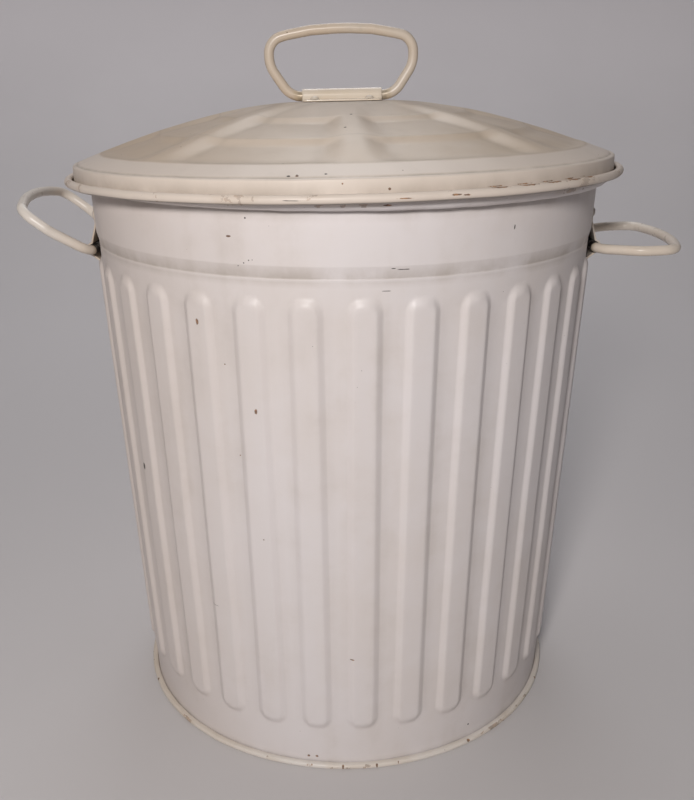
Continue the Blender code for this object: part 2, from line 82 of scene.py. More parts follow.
# Ribs below a side clip end lower: their head, how far round from the clip they lie in degrees,
# and the heights between which the wall's rows are drawn down for them.
SHORT_RIB_HEAD_Z = 0.2604
SHORT_RIB_REACH = (10.95, 11.5)
SHORT_RIB_ROWS_Z = (0.14, 0.24)
# Columns of points over half a rib, as distances from its middle line.
RIB_COLUMNS = (0.0, 0.0040, 0.0049, 0.0056, 0.0066, 0.0076, 0.0084, 0.0091)

HEM_TOP_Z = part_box("base_pan")[1].z
HEM_OUTER_RADIUS = 0.1334
HEM_BEND_RADIUS = 0.00125

# ---- lid -------------------------------------------------------------------
LID_TILT = math.radians(1.5)
LID_RISE_HEADING = 35.0
LID_PAD_RADIUS = 0.0300
LID_APEX_Z = 0.0402
LID_APEX_RISE = 0.0297
LID_DOME_POWER = 1.6
LID_SHOULDER_RADIUS = 0.1516
LID_SHOULDER_Z = 0.0105
LID_SHOULDER_ROUND = 0.0012
LID_GROOVE_RADIUS = LID_SHOULDER_RADIUS - 0.0012
SKIRT_RADIUS = 0.1528
LID_TUBE_RADIUS = 0.0022
LID_TUBE_CENTRE = 0.1557
TERRACE_LINES = (0.0706, 0.1048, 0.1375)
BORDER_RADIUS = TERRACE_LINES[-1]
TERRACE_DEPTH = 0.0019
TERRACE_RISER = 0.0062
PANEL_RECESS = 0.0015
RIDGE_COUNT = 8
RIDGE_PHASE = 3.0
RIDGE_TOP_HALF = 0.0018

# ---- handles, clips and rivets ---------------------------------------------
WIRE_RADIUS = 0.0028
WIRE_STAND_OFF = WIRE_RADIUS + GAP
CLIP_HALF_LENGTH = 0.0226
CLIP_FLANGE = 0.0080
CLIP_BEND = WIRE_RADIUS + GAP + STRAP / 2
CLIP_CORNER = 0.0030
LID_LOOP_SIZE = (0.0408, 0.0358)
SIDE_LOOP_SIZE = (0.0424, 0.0480)
LOOP_LIFT = {"left": 37.0, "right": 2.0}
RIVET_HEAD_RADIUS = 0.0026
RIVET_HEAD_RISE = 0.0016
RIVET_SHANK_RADIUS = 0.0015
RIVET_TAIL_RADIUS = 0.0022
RIVET_TAIL_RISE = 0.0008
RIVET_MIDDLE_DROP = 0.0007

# ---- fineness --------------------------------------------------------------
COLUMNS_PER_RIDGE = 48
WIRE_SIDES = 24
WIRE_LENGTH_STEP = 0.006
BEND_STEP = math.radians(6.0)


# ==== shape helpers =========================================================
def smooth(low, high, value):
    """0 below low, 1 above high and an even curve between."""
    share = min(max((value - low) / (high - low), 0.0), 1.0)
    return share * share * (3.0 - 2.0 * share)


def spread(low, high, count):
    """count + 1 values from low to high."""
    return [low + (high - low) * step / count for step in range(count + 1)]


def wall_radius(z):
    """Outside radius of the plain tapered wall."""
    return FOOT_RADIUS + (NECK_RADIUS - FOOT_RADIUS) * z / STEP_Z


def band_radius(z):
    """Outside radius of the plain band above the step."""
    share = (z - BAND_FOOT_Z) / (RIM_Z - BAND_FOOT_Z)
    return BAND_FOOT_RADIUS + (BAND_HEAD_RADIUS - BAND_FOOT_RADIUS) * share


def bell(offset, width):
    """1 at no offset and falling away over about width on both sides."""
    return math.exp(-((offset / width) ** 2))


def even_slope(value):
    """0 below 0, 1 above 1 and an even slope between that is rounded only at its two ends."""
    share = min(max(value, 0.0), 1.0)
    half = min(share, 1.0 - share)
    rounded = 0.22
    if half < rounded:
        rise = half**2 / (2 * rounded * (1 - rounded))
    else:
        rise = (half - rounded / 2) / (1 - rounded)
    return rise if share < 0.5 else 1.0 - rise


def arc(centre, radius, first, last, steps):
    """Points on a circle from one angle in degrees to another, ends included."""
    points = []
    for angle in spread(math.radians(first), math.radians(last), steps):
        points.append((centre[0] + radius * math.cos(angle), centre[1] + radius * math.sin(angle)))
    return points


def filleted(points, radii, steps=5):
    """An outline whose inner corners become arcs of the given radii."""
    outline = [tuple(points[0])]
    for index, radius in enumerate(radii, start=1):
        corner = Vector(points[index])
        back = (Vector(points[index - 1]) - corner).normalized()
        ahead = (Vector(points[index + 1]) - corner).normalized()
        half = back.angle(ahead) / 2
        centre = corner + (back + ahead).normalized() * radius / math.sin(half)
        first = corner + back * radius / math.tan(half) - centre
        last = corner + ahead * radius / math.tan(half) - centre
        turn = first.angle_signed(last)
        for angle in spread(0.0, -turn, steps):
            spoke = first.copy()
            spoke.rotate(Matrix.Rotation(angle, 2))
            outline.append(tuple(centre + spoke))
    outline.append(tuple(points[-1]))
    return outline


def spot(heading, radius, z):
    """A point of the can at a heading in degrees from its front."""
    angle = math.radians(heading - 90.0)
    return Vector((radius * math.cos(angle), radius * math.sin(angle), z))


def heading_of(point):
    """Heading of a point in degrees from the front, from -180 to 180."""
    return math.degrees(math.atan2(point.x, -point.y))


def turned(outline, steps, closed=False):
    """Spin an outline of (radius, z) points round the can's axis."""
    mesh = bmesh.new()
    line = [mesh.verts.new((0.0, -radius, z)) for radius, z in outline]
    pairs = list(zip(line[:-1], line[1:]))
    if closed:
        pairs.append((line[-1], line[0]))
    edges = [mesh.edges.new(pair) for pair in pairs]
    bmesh.ops.spin(
        mesh,
        geom=line + edges,
        cent=(0.0, 0.0, 0.0),
        axis=UP,
        dvec=(0.0, 0.0, 0.0),
        angle=2 * math.pi,
        steps=steps,
        use_merge=True,
    )
    bmesh.ops.remove_doubles(mesh, verts=mesh.verts, dist=1e-6)
    bmesh.ops.recalc_face_normals(mesh, faces=mesh.faces)
    return mesh


def face_outwards(mesh):
    """Turn an open sheet so that its widest faces look away from the axis."""
    widest = max(mesh.faces, key=lambda face: face.calc_area())
    away = widest.calc_center_median()
    away.z = abs(away.z) * 0.5
    if widest.normal.dot(away) < 0:
        bmesh.ops.reverse_faces(mesh, faces=mesh.faces)


def parts_of(grown):
    """The vertices and the edges among what an operator made."""
    verts = [item for item in grown if isinstance(item, bmesh.types.BMVert)]
    edges = [item for item in grown if isinstance(item, bmesh.types.BMEdge)]
    return verts, edges


def value_layers(mesh, *names):
    """One number for each point of a mesh under each name, for the finishes to read."""
    return [mesh.verts.layers.float.new(name) for name in names]


def dented(point, size, depth):
    """Small wandering of pressed sheet: how far a point lies off the true surface."""
    return depth * noise.noise(point / size)


def piece(name, mesh, finish, body, node, sharp=35.0):
    """A finished mesh as an object that rides a body and stands for a CAD node."""
    data = bpy.data.meshes.new(name)
    mesh.to_mesh(data)
    mesh.free()
    data.shade_smooth()
    data.set_sharp_from_angle(angle=math.radians(sharp))
    data.materials.append(finish)
    item = bpy.data.objects.new(name, data)
    bpy.context.scene.collection.objects.link(item)
    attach(item, body)
    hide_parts(node)
    return item


def give_thickness(item, thickness, offset=-1.0):
    """Sheet thickness, on the side away from the faces unless offset says otherwise."""
    wall = item.modifiers.new("sheet", "SOLIDIFY")
    wall.thickness = thickness
    wall.offset = offset
    wall.use_even_offset = True


# ==== finishes ==============================================================
COAT_ROUGHNESS = 0.18
SPECULAR_LEVEL = 0.30

RUST = (0.340, 0.175, 0.080, 1.0)
DARK_RUST = (0.150, 0.080, 0.045, 1.0)
RUST_STAIN = (0.500, 0.360, 0.220, 1.0)
# Near-black of bare chips, dark steel and grime, also painted as shade in the side clips' mouths.
DARK_SOOT_AND_SHADE = (0.030, 0.026, 0.024, 1.0)
# Grime tone, also laid in the creases as painted shade.
GRIME_AND_SHADE = (0.300, 0.250, 0.195, 1.0)
# Tone of the painted shadow in the gaps between the lid's bead and the can's rim.
GAP_SHADOW_TONE = (0.105, 0.088, 0.075, 1.0)
STEEL = (0.300, 0.290, 0.275, 1.0)
CLEAN_ENAMEL = (0.735, 0.650, 0.575, 1.0)
RUBBED_ENAMEL = (0.420, 0.320, 0.170, 1.0)
# Share of each colour channel that is left on the can's left side, which is painted warmer and darker, partly
# as yellowed enamel and partly as painted shade, and the part of the can, along X, over which this fades out.
LEFT_YELLOWING_AND_SHADE = (0.93, 0.88, 0.82)
LEFT_YELLOWING_AND_SHADE_X = (-0.145, -0.020)

# Patterns of the enamel, in cells to the metre; streaks are long upwards.
BROAD_PATCHES = 8.0
WEAR_PATCHES = 26.0
CLOUDS = 38.0
SCUFFS = 170.0
RUST_GRAIN = 420.0
BRUSH_GRAIN = 900.0
STREAKS = (55.0, 55.0, 6.0)
RELIEF_DEPTH = 0.00030


class Signal:
    """A shader socket that adds, multiplies and divides like a number."""

    def __init__(self, finish, socket):
        self.finish = finish
        self.socket = socket

    def __add__(self, other):
        return self.finish.maths("ADD", self, other)

    def __sub__(self, other):
        return self.finish.maths("SUBTRACT", self, other)

    def __rsub__(self, other):
        return self.finish.maths("SUBTRACT", other, self)

    def __mul__(self, other):
        return self.finish.maths("MULTIPLY", self, other)

    def __truediv__(self, other):
        return self.finish.maths("DIVIDE", self, other)

    def __or__(self, other):
        return self.finish.maths("MAXIMUM", self, other)

    __radd__ = __add__
    __rmul__ = __mul__


class Finish:
    """One surface finish: a Principled shader and the nodes that feed it."""

    def __init__(self, name, roughness, metallic=0.0, coat=0.0):
        self.material = bpy.data.materials.new(name)
        self.material.use_nodes = True
        self.tree = self.material.node_tree
        self.shader = self.tree.nodes["Principled BSDF"]
        self.shader.inputs["Roughness"].default_value = roughness
        self.shader.inputs["Metallic"].default_value = metallic
        self.shader.inputs["Coat Weight"].default_value = coat
        self.shader.inputs["Coat Roughness"].default_value = COAT_ROUGHNESS
        self.shader.inputs["Specular IOR Level"].default_value = SPECULAR_LEVEL
        self.place = self.node("ShaderNodeTexCoord", {}, {}, "Object")

    def node(self, kind, settings, sockets, output=0):
        """One shader node; a socket's value is a number, a colour, a vector or a Signal."""
        made = self.tree.nodes.new(kind)
        for name, value in settings.items():
            setattr(made, name, value)
        for key, value in sockets.items():
            if isinstance(value, Signal):
                self.tree.links.new(value.socket, made.inputs[key])
            else:
                made.inputs[key].default_value = value
        return Signal(self, made.outputs[output])

    def maths(self, operation, first, second):
        return self.node("ShaderNodeMath", {"operation": operation}, {0: first, 1: second})

    def vector(self, operation, first, second, output=0):
        return self.node("ShaderNodeVectorMath", {"operation": operation}, {0: first, 1: second}, output)

    def stretched(self, scale):
        """Object place with each axis multiplied, for streaks and bands."""
        return self.vector("MULTIPLY", self.place, scale)

    def noise(self, scale, detail=2.0, where=None, roughness=0.5):
        sockets = {"Vector": where or self.place, "Scale": scale, "Detail": detail, "Roughness": roughness}
        return self.node("ShaderNodeTexNoise", {}, sockets)

    def eased(self, value, low, high, under, over):
        """From under to over as value goes from low to high, smooth between."""
        settings = {"interpolation_type": "SMOOTHSTEP"}
        return self.node("ShaderNodeMapRange", settings, {0: value, 1: low, 2: high, 3: under, 4: over})

    def above(self, value, low, high):
        """0 under low, 1 over high."""
        return self.eased(value, low, high, 0.0, 1.0)

    def below(self, value, low, high):
        """1 under low, 0 over high."""
        return self.eased(value, low, high, 1.0, 0.0)

    def mix(self, share, under, over):
        """Colour over laid on colour under."""
        return self.node("ShaderNodeMix", {"data_type": "RGBA"}, {0: share, 6: under, 7: over}, 2)

    def painted(self, name):
        """A value that the mesh carries at its points."""
        return self.node("ShaderNodeAttribute", {"attribute_name": name}, {}, "Fac")

    def set(self, socket, signal):
        self.tree.links.new(signal.socket, self.shader.inputs[socket])

    def bump(self, height, distance, strength=1.0):
        relief = {"Height": height, "Distance": distance, "Strength": strength}
        self.set("Normal", self.node("ShaderNodeBump", {}, relief))


def specks(finish, cells, share, size):
    """Rare small dots: one in some cells of a crumbled pattern, each about size across."""
    settings = {"feature": "F1"}
    sockets = {"Vector": finish.place, "Scale": cells}
    wobble = finish.noise(cells * 3.0, 1.0)
    cell = finish.node("ShaderNodeTexVoronoi", settings, sockets, "Distance")
    colour = finish.node("ShaderNodeTexVoronoi", settings, sockets, "Color")
    chosen = finish.node("ShaderNodeSeparateColor", {}, {0: colour}, 0)
    varied = finish.node("ShaderNodeSeparateColor", {}, {0: colour}, 1)
    reach = size * cells * (0.35 + varied) * (0.6 + wobble)
    inside = finish.below(cell / reach, 0.45, 0.6)
    return inside * finish.above(chosen, 1.0 - share, 1.0 - share + 0.002)


def mark(finish, centre, reach, stretch=(1.0, 1.0, 1.0), ragged=0.5):
    """One chip, scratch or stain: a ragged spot round a point, longer where stretch is small."""
    offset = finish.vector("SUBTRACT", finish.place, tuple(centre))
    stretched = finish.vector("MULTIPLY", offset, stretch)
    distance = finish.node("ShaderNodeVectorMath", {"operation": "LENGTH"}, {0: stretched}, "Value")
    wobble = finish.noise(0.7 / reach, 3.0)
    return finish.below(distance * (1.0 - ragged + 2 * ragged * wobble), reach * 0.55, reach * 0.85)


def marks(finish, spots):
    """The union of several marks."""
    whole = mark(finish, *spots[0])
    for spot_args in spots[1:]:
        whole = whole | mark(finish, *spot_args)
    return whole


def aged_colour(finish, tone, aged_tone, broad, streaks, cloud):
    """Old enamel before its chips: uneven, yellowed and with painted warm shade on the left, hazy, darker in
    the creases with grime and painted shade, and with painted shadow in the gaps under the beads.

    Gives the colour, and how dark the creases are made, partly by grime and partly by painted shade.
    """
    ageing = finish.above(broad * 0.6 + cloud * 0.25 + streaks * 0.15, 0.40, 0.62)
    colour = finish.mix(ageing, (*tone, 1.0), (*aged_tone, 1.0))
    sideways = finish.node("ShaderNodeSeparateXYZ", {}, {0: finish.place}, 0)
    # The left side is painted warmer and darker: partly yellowed enamel, partly painted shade.
    left_yellowing_and_shade = finish.below(sideways + 0.05 * (broad - 0.5), *LEFT_YELLOWING_AND_SHADE_X) * 0.7
    warmer_tone = [part * left for part, left in zip(aged_tone, LEFT_YELLOWING_AND_SHADE)]
    colour = finish.mix(left_yellowing_and_shade, colour, (*warmer_tone, 1.0))
    colour = finish.mix(finish.painted("clean") * 0.85, colour, CLEAN_ENAMEL)
    haze = finish.above(cloud * 0.5 + streaks * 0.5, 0.50, 0.78) * 0.16
    colour = finish.mix(haze, colour, GRIME_AND_SHADE)
    # Creases darkened in patches: partly grime, partly painted shade.
    crease_grime_and_shade = finish.painted("crease") * finish.above(streaks * 0.4 + cloud * 0.6, 0.30, 0.62) * 0.62
    colour = finish.mix(crease_grime_and_shade, colour, GRIME_AND_SHADE)
    # Painted shadow in the gaps under the lid's bead and on the rim curl below it.
    return finish.mix(finish.painted("gap_shadow") * 0.85, colour, GAP_SHADOW_TONE), crease_grime_and_shade


def rusted(finish, speckle, edge_wear, spots):
    """Where the enamel has rusted through, and the stain round its worn edges."""
    worn = finish.painted("worn")
    patches = finish.noise(WEAR_PATCHES, 2.0)
    scuff = finish.above(finish.noise(SCUFFS, 4.0, roughness=0.7) * 0.55 + patches * 0.45, 0.575, 0.60)
    through = finish.above(worn * scuff, 0.35, 0.5) * edge_wear
    stain = finish.above(worn * finish.above(patches, 0.52, 0.62), 0.2, 0.9) * (0.35 * edge_wear)
    through = specks(finish, 190.0, speckle, 0.00055) | through
    if spots:
        through = through | marks(finish, spots)
    return through, stain


def aged_paint(
    name, tone, aged_tone, roughness, spots=None, dark_spots=None, speckle=0.05, edge_wear=1.0, coat=0.0
):
    """Old brushed-on enamel: uneven tone, yellowing and painted shade on the left, grime and painted shade in
    the creases, painted shadow in the gaps, chips and rust.
    """
    finish = Finish(name, roughness, coat=coat)
    broad = finish.noise(BROAD_PATCHES, 4.0)
    streaks = finish.noise(1.0, 4.0, finish.stretched(STREAKS))
    cloud = finish.noise(CLOUDS, 5.0, roughness=0.62)
    brushed = finish.noise(BRUSH_GRAIN, 2.0)
    colour, crease_grime_and_shade = aged_colour(finish, tone, aged_tone, broad, streaks, cloud)

    rusty, stain = rusted(finish, speckle, edge_wear, spots)
    rust_tone = finish.mix(finish.above(finish.noise(RUST_GRAIN, 3.0), 0.42, 0.60), DARK_RUST, RUST)
    colour = finish.mix(stain, colour, RUST_STAIN)
    colour = finish.mix(rusty * 0.92, colour, rust_tone)
    dark_marks = specks(finish, 480.0, speckle * 0.7, 0.000225)
    if dark_spots:
        dark_marks = dark_marks | marks(finish, dark_spots)
    # Dark specks and marks: chips and grime, and painted shade in the side clips' mouths.
    finish.set("Base Color", finish.mix(dark_marks * 0.9, colour, DARK_SOOT_AND_SHADE))

    gone = rusty | dark_marks
    rough = roughness + 0.10 * (cloud - 0.5) + 0.12 * crease_grime_and_shade + gone * (0.80 - roughness)
    finish.set("Roughness", rough)
    relief = broad * 0.3 + cloud * 0.22 + brushed * 0.05 + streaks * 0.05 - gone * 0.35
    finish.bump(relief, RELIEF_DEPTH, 0.55)
    return finish.material


def bare_wire():
    """Plain steel wire, dulled and lightly rusted."""
    finish = Finish("dull_steel_wire", 0.42, metallic=1.0)
    cloud = finish.noise(90.0, 4.0)
    rusty = finish.above(cloud, 0.50, 0.62)
    finish.set("Base Color", finish.mix(rusty, STEEL, RUST))
    finish.set("Metallic", 1.0 - 0.8 * rusty)
    finish.set("Roughness", 0.40 + 0.4 * rusty)
    finish.bump(cloud, 0.0002)
    return finish.material


# ==== can body ==============================================================
def rib_at(heading):
    """Heading of the nearest rib's middle line."""
    return RIB_PHASE + RIB_PITCH * round((heading - RIB_PHASE) / RIB_PITCH)


def body_outline():
    """Face of the body sheet from the foot flange, up the wall and band, round the rim curl."""
    flange_top = BASE_SHEET + GAP + SHEET
    foot = [(FOOT_RADIUS + 0.0027, flange_top), (FOOT_RADIUS, flange_top), (wall_radius(0.006), 0.006)]
    outline = filleted(foot, [0.0007], 3)
    past_end = 0.0012
    rounded_end = RIB_WIDTH / 2 + 0.0004
    heights = [0.012, 0.019, RIB_FOOT_Z - past_end]
    heights += spread(RIB_FOOT_Z, RIB_FOOT_Z + rounded_end, 9)
    heights += spread(RIB_FOOT_Z + rounded_end, RIB_HEAD_Z - rounded_end, 13)[1:-1]
    heights += spread(RIB_HEAD_Z - rounded_end, RIB_HEAD_Z, 9)
    heights.append(RIB_HEAD_Z + past_end)
    outline += [(wall_radius(z), z) for z in heights]
    plain_band_z = BAND_FOOT_Z + 0.0045
    step = [
        (wall_radius(STEP_Z - 0.0045), STEP_Z - 0.0045),
        (wall_radius(STEP_Z - 0.0018) - 0.00008, STEP_Z - 0.0018),
        (wall_radius(STEP_Z) + 0.00004, STEP_Z - 0.0004),
        (wall_radius(STEP_Z) - 0.00012, STEP_Z + 0.0004),
        (BAND_FOOT_RADIUS + 0.0001, BAND_FOOT_Z),
        (band_radius(plain_band_z), plain_band_z),
    ]
    outline += filleted(step, [0.0012, 0.0008, 0.0006, 0.0035], 3)
    outline += [(band_radius(z), z) for z in spread(plain_band_z, RIM_Z, 5)[1:-1]]
    outline += arc((RIM_RADIUS, RIM_Z), RIM_TUBE_RADIUS - SHEET, 180, -130, 13)
    return outline


def rib_edge_distance(offset, z, head_z):
    """Distance inside a rib's outline, negative outside it."""
    half = RIB_WIDTH / 2
    past_end = max(z - (head_z - half), RIB_FOOT_Z + half - z, 0.0)
    return half - math.hypot(offset, past_end)


def rib_column(point):
    """Heading of a body point once its column is moved to the rib's own columns; the rib's heading."""
    heading = heading_of(point)
    centre = rib_at(heading)
    column = round((heading - centre) / RIB_PITCH * 2 * len(RIB_COLUMNS))
    if abs(column) < len(RIB_COLUMNS):
        offset = math.copysign(RIB_COLUMNS[abs(column)], column)
        heading = centre + math.degrees(offset / wall_radius(point.z))
    return heading, centre


def press_rib(heading, centre, radius, z):
    """Radius, height, crease and wear of a wall point once the ribs are pressed out."""
    from_clip = abs(abs(heading) - 90.0)
    drop = (RIB_HEAD_Z - SHORT_RIB_HEAD_Z) * (1.0 - smooth(*SHORT_RIB_REACH, from_clip))
    above_head = smooth(RIB_HEAD_Z + 0.002, STEP_Z - 0.003, z)
    row_z = z - drop * (smooth(*SHORT_RIB_ROWS_Z, z) * (1.0 - above_head))
    radius += wall_radius(row_z) - wall_radius(z)
    offset = math.radians(heading - centre) * wall_radius(row_z)
    inside = rib_edge_distance(offset, row_z, RIB_HEAD_Z - drop)
    radius += RIB_HEIGHT * even_slope(inside / RIB_FLANK)
    # The crease value darkens the rib's outline: partly grime, partly painted shade.
    return radius, row_z, 0.10 * bell(inside, 0.0012), 0.12 * smooth(0.002, 0.004, inside)


def body_crease(radius, z, crease):
    """How dark the step, the wall beside the hem and the band under the rim are made: partly grime, partly
    painted shade.
    """
    if abs(z - STEP_Z) < 0.004:
        crease = 0.45 * bell(z - STEP_Z - 0.0006, 0.0007) + 0.35 * bell(z - STEP_Z + 0.0018, 0.0005)
    if STEP_Z < z < BAND_FOOT_Z + 0.001:
        crease = max(crease, 0.80 * (1.0 - smooth(BAND_FOOT_Z - 0.0014, BAND_FOOT_Z + 0.0002, z)))
    if z < 0.0065:
        crease = 0.3 * (1.0 - smooth(0.0028, 0.0050, z))
    if z > RIM_Z - 0.012 and radius < RIM_RADIUS:
        crease = max(crease, 0.6 * smooth(RIM_Z - 0.010, RIM_Z - 0.002, z))
    return crease


def shape_body_point(point):
    """Move a point of the plain turned body onto the ribbed one; gives its crease darkening, wear and painted
    gap shadow too.
    """
    heading, centre = rib_column(point)
    radius = math.hypot(point.x, point.y)
    z = point.z
    crease = 0.0
    worn = 0.0
    if RIB_FOOT_Z - 0.002 < z < STEP_Z - 0.003 and radius < FOOT_RADIUS + 0.0140:
        radius, z, crease, worn = press_rib(heading, centre, radius, z)
    crease = body_crease(radius, z, crease)
    if radius > RIM_RADIUS and z > RIM_Z - RIM_TUBE_RADIUS:
        worn = bell(z - RIM_Z + 0.0004, 0.0013)
    moved = spot(heading, radius, z)
    swell = dented(moved, 0.055, 0.00028) + dented(moved, 0.019, 0.00010)
    if radius > RIM_RADIUS - RIM_TUBE_RADIUS and z > RIM_Z - 2 * RIM_TUBE_RADIUS:
        swell += dented(moved, 0.006, 0.00016)
        moved.z += dented(moved + UP, 0.009, 0.00022)
    if z < 0.004:
        swell = 0.0
    moved += spot(heading, swell, 0.0)
    # Painted shadow on the top of the rim curl, where the lid's bead shades it.
    gap_shadow = smooth(RIM_Z + 0.0008, RIM_Z + 0.0020, z) if radius > RIM_RADIUS else 0.0
    return moved, crease, worn, gap_shadow


def make_body():
    mesh = turned(body_outline(), RIB_COUNT * 2 * len(RIB_COLUMNS))
    mesh.transform(Matrix.Rotation(math.radians(RIB_PHASE), 4, "Z"))
    face_outwards(mesh)
    crease_layer, worn_layer, gap_shadow_layer = value_layers(mesh, "crease", "worn", "gap_shadow")
    for vert in mesh.verts:
        vert.co, vert[crease_layer], vert[worn_layer], vert[gap_shadow_layer] = shape_body_point(vert.co)
    body = piece("body_skin", mesh, body_paint(), "can", "body_shell")
    give_thickness(body, SHEET)


def on_wall(heading, z, lift=0.0):
    """A place on the plain wall, or lifted off it."""
    return spot(heading, wall_radius(z) + lift, z)


def on_rib(heading, z):
    """A place on top of a rib."""
    return on_wall(heading, z, RIB_HEIGHT)


def body_paint():
    """The can's enamel with its own chips, each a place, a reach, a stretch and a raggedness."""
    rust = [
        (on_rib(-26.2, 0.2723), 0.0007),
        (on_rib(-29.6, 0.2610), 0.0011, (1, 1, 0.5)),
        (on_rib(-26.7, 0.2480), 0.0007),
        (on_rib(-17.8, 0.2184), 0.0011, (1, 1, 0.6)),
        (spot(-21.4, 0.1440, 0.3038), 0.0010, (0.6, 0.6, 1.6)),
        (on_rib(8.0, 0.2325), 0.0008),
        (on_rib(1.4, 0.0748), 0.0010, (0.5, 0.5, 1.6)),
        (on_wall(-9.6, 0.0058), 0.0011),
        (on_wall(-7.5, 0.0060), 0.0011),
        (on_wall(80.0, 0.2570, 0.0010), 0.0042, (1.0, 1.3, 0.42), 0.7),
        (on_rib(78.0, 0.2330), 0.0020, (1.4, 1.4, 0.12), 0.6),
        (on_wall(-78.0, 0.0240, 0.0003), 0.0034, (1.0, 1.0, 0.45), 0.8),
        (spot(19.8, 0.1497, 0.3215), 0.0013, (0.35, 0.35, 1.6), 0.8),
        (spot(7.5, 0.1500, 0.3195), 0.0012, (0.35, 0.35, 2.0), 0.8),
        (spot(29.3, 0.1500, 0.3200), 0.0009, (0.5, 0.5, 1.6), 0.8),
    ]
    dark = [
        (on_rib(-36.7, 0.2052), 0.0010, (1, 1, 0.8)),
        (spot(11.2, 0.1437, 0.2893), 0.0017, (0.42, 0.42, 5.0), 0.75),
        (spot(9.2, 0.1434, 0.2899), 0.0009, (0.6, 0.6, 3.0), 0.6),
        (on_wall(8.0, 0.2793), 0.0012, (0.45, 0.45, 5.0), 0.6),
        (spot(34.2, 0.1441, 0.3047), 0.0009, (1.6, 1.6, 0.5)),
        (on_rib(-53.9, 0.1666), 0.0014, (1.0, 1.0, 0.5), 0.7),
        (on_wall(4.5, 0.0454), 0.0007),
        (on_wall(33.4, 0.0111), 0.0008),
        (on_wall(-21.3, 0.2455), 0.0006),
        (spot(-17.8, 0.1444, 0.3125), 0.0006),
        (spot(-18.6, 0.1436, 0.2918), 0.0005),
        (spot(-19.8, 0.1435, 0.2902), 0.0005),
        (spot(-17.6, 0.1437, 0.2931), 0.0005),
        (spot(-16.9, 0.1437, 0.2934), 0.0004),
        (on_wall(-32.0, 0.0975, 0.0010), 0.0011, (0.28, 0.28, 6.0), 0.5),
    ]
    return aged_paint(
        "body_paint", (0.740, 0.696, 0.690), (0.705, 0.650, 0.625), 0.42, rust, dark, 0.022, 0.45
    )


# ==== rim wire and base =====================================================
def make_rim_wire():
    mesh = turned(arc((RIM_RADIUS, RIM_Z), RIM_WIRE_RADIUS, 0, 350, 35), 256, closed=True)
    piece("rim_wire_round", mesh, bare_wire(), "can", "rim_wire")


def make_base():
    """Flat disc whose edge is folded over the body's foot flange and rolled down."""
    lip = wall_radius(HEM_TOP_Z) + GAP + 0.0002
    lip_foot = HEM_TOP_Z - BASE_SHEET * 0.8
    disc = [
        (0.0, 0.0),
        (HEM_OUTER_RADIUS, 0.0),
        (HEM_OUTER_RADIUS, HEM_TOP_Z),
        (lip, HEM_TOP_Z),
        (lip, lip_foot),
        (HEM_OUTER_RADIUS - BASE_SHEET, lip_foot),
        (HEM_OUTER_RADIUS - BASE_SHEET, BASE_SHEET),
        (0.0, BASE_SHEET),
    ]
    outline = filleted(disc, [HEM_BEND_RADIUS, HEM_BEND_RADIUS, 0.0002, 0.0001, 0.0001, 0.0001], 5)
    outline[1:1] = [(radius, 0.0) for radius in (0.045, 0.085, 0.112)]
    mesh = turned(outline, 384)
    crease_layer, worn_layer = value_layers(mesh, "crease", "worn")
    for vert in mesh.verts:
        radius = math.hypot(vert.co.x, vert.co.y)
        if radius > lip and vert.co.z > 0.0004:
            vert.co += spot(heading_of(vert.co), dented(vert.co, 0.012, 0.00022), 0.0)
            vert.co.z += dented(vert.co + UP, 0.015, 0.00012)
        # Crease darkening over the whole base and more at the lip beside the wall: partly grime, partly
        # painted shade.
        vert[crease_layer] = 0.15
        if radius > lip - 0.0001:
            vert[crease_layer] = 0.25 * (1.0 - smooth(lip, lip + 0.0008, radius))
        vert[worn_layer] = smooth(HEM_OUTER_RADIUS - 0.0016, HEM_OUTER_RADIUS - 0.0003, radius) * 0.85
    piece("base_hem", mesh, base_paint(), "can", "base_pan")


def base_paint():
    """The hem's enamel; its rust is given as headings and reaches along the edge."""
    edge = HEM_OUTER_RADIUS - 0.0004
    chipped = ((-0.9, 0.0016), (7.4, 0.0014), (-8.6, 0.0010), (66.6, 0.0016), (-67.0, 0.0018), (12.8, 0.0009))
    rust = [(spot(heading, edge, 0.0018), reach, (1.6, 1.6, 0.6)) for heading, reach in chipped]
    rust.append((spot(32.6, edge, 0.0022), 0.0015))
    return aged_paint(
        "base_paint", (0.760, 0.715, 0.665), (0.710, 0.640, 0.560), 0.36, rust, None, 0.06, 0.55
    )


# ==== lid ===================================================================
def lid_place():
    """The lid's own frame: its clip sits under the lid handle's hinge, and it leans up to the front right."""
    rise = spot(LID_RISE_HEADING, 1.0, 0.0)
    lean = Matrix.Rotation(LID_TILT, 4, rise.cross(UP))
    hinge = Vector(JOINTS["lid_handle_swing"]["pos_m"])
    return Matrix.Translation(hinge) @ lean @ Matrix.Translation(-UP * (LID_APEX_Z + WIRE_STAND_OFF))


def dome_z(radius):
    """Height of the smooth dome over the lid's lower edge."""
    share = (radius - LID_PAD_RADIUS) / (LID_SHOULDER_RADIUS - LID_PAD_RADIUS)
    return LID_APEX_Z - LID_APEX_RISE * min(max(share, 0.0), 1.0) ** LID_DOME_POWER


def terrace_depth(radius):
    """Drop of the stepped panels: a short steep riser outside each line, then a flat tread."""
    for line, following in zip(TERRACE_LINES[:-1], TERRACE_LINES[1:]):
        if line <= radius < following:
            foot = line + TERRACE_RISER
            if radius < foot:
                share = (radius - line) / TERRACE_RISER
                return TERRACE_DEPTH * math.sin(share * math.pi / 2)
            return TERRACE_DEPTH * (1.0 - (radius - foot) / (following - foot))
    return 0.0


def ridge_offset(point):
    """Distance of a lid point from the nearest ridge's centre line."""
    period = 360.0 / RIDGE_COUNT
    turn = heading_of(point) - RIDGE_PHASE
    turn -= period * round(turn / period)
    return math.hypot(point.x, point.y) * math.sin(math.radians(abs(turn)))


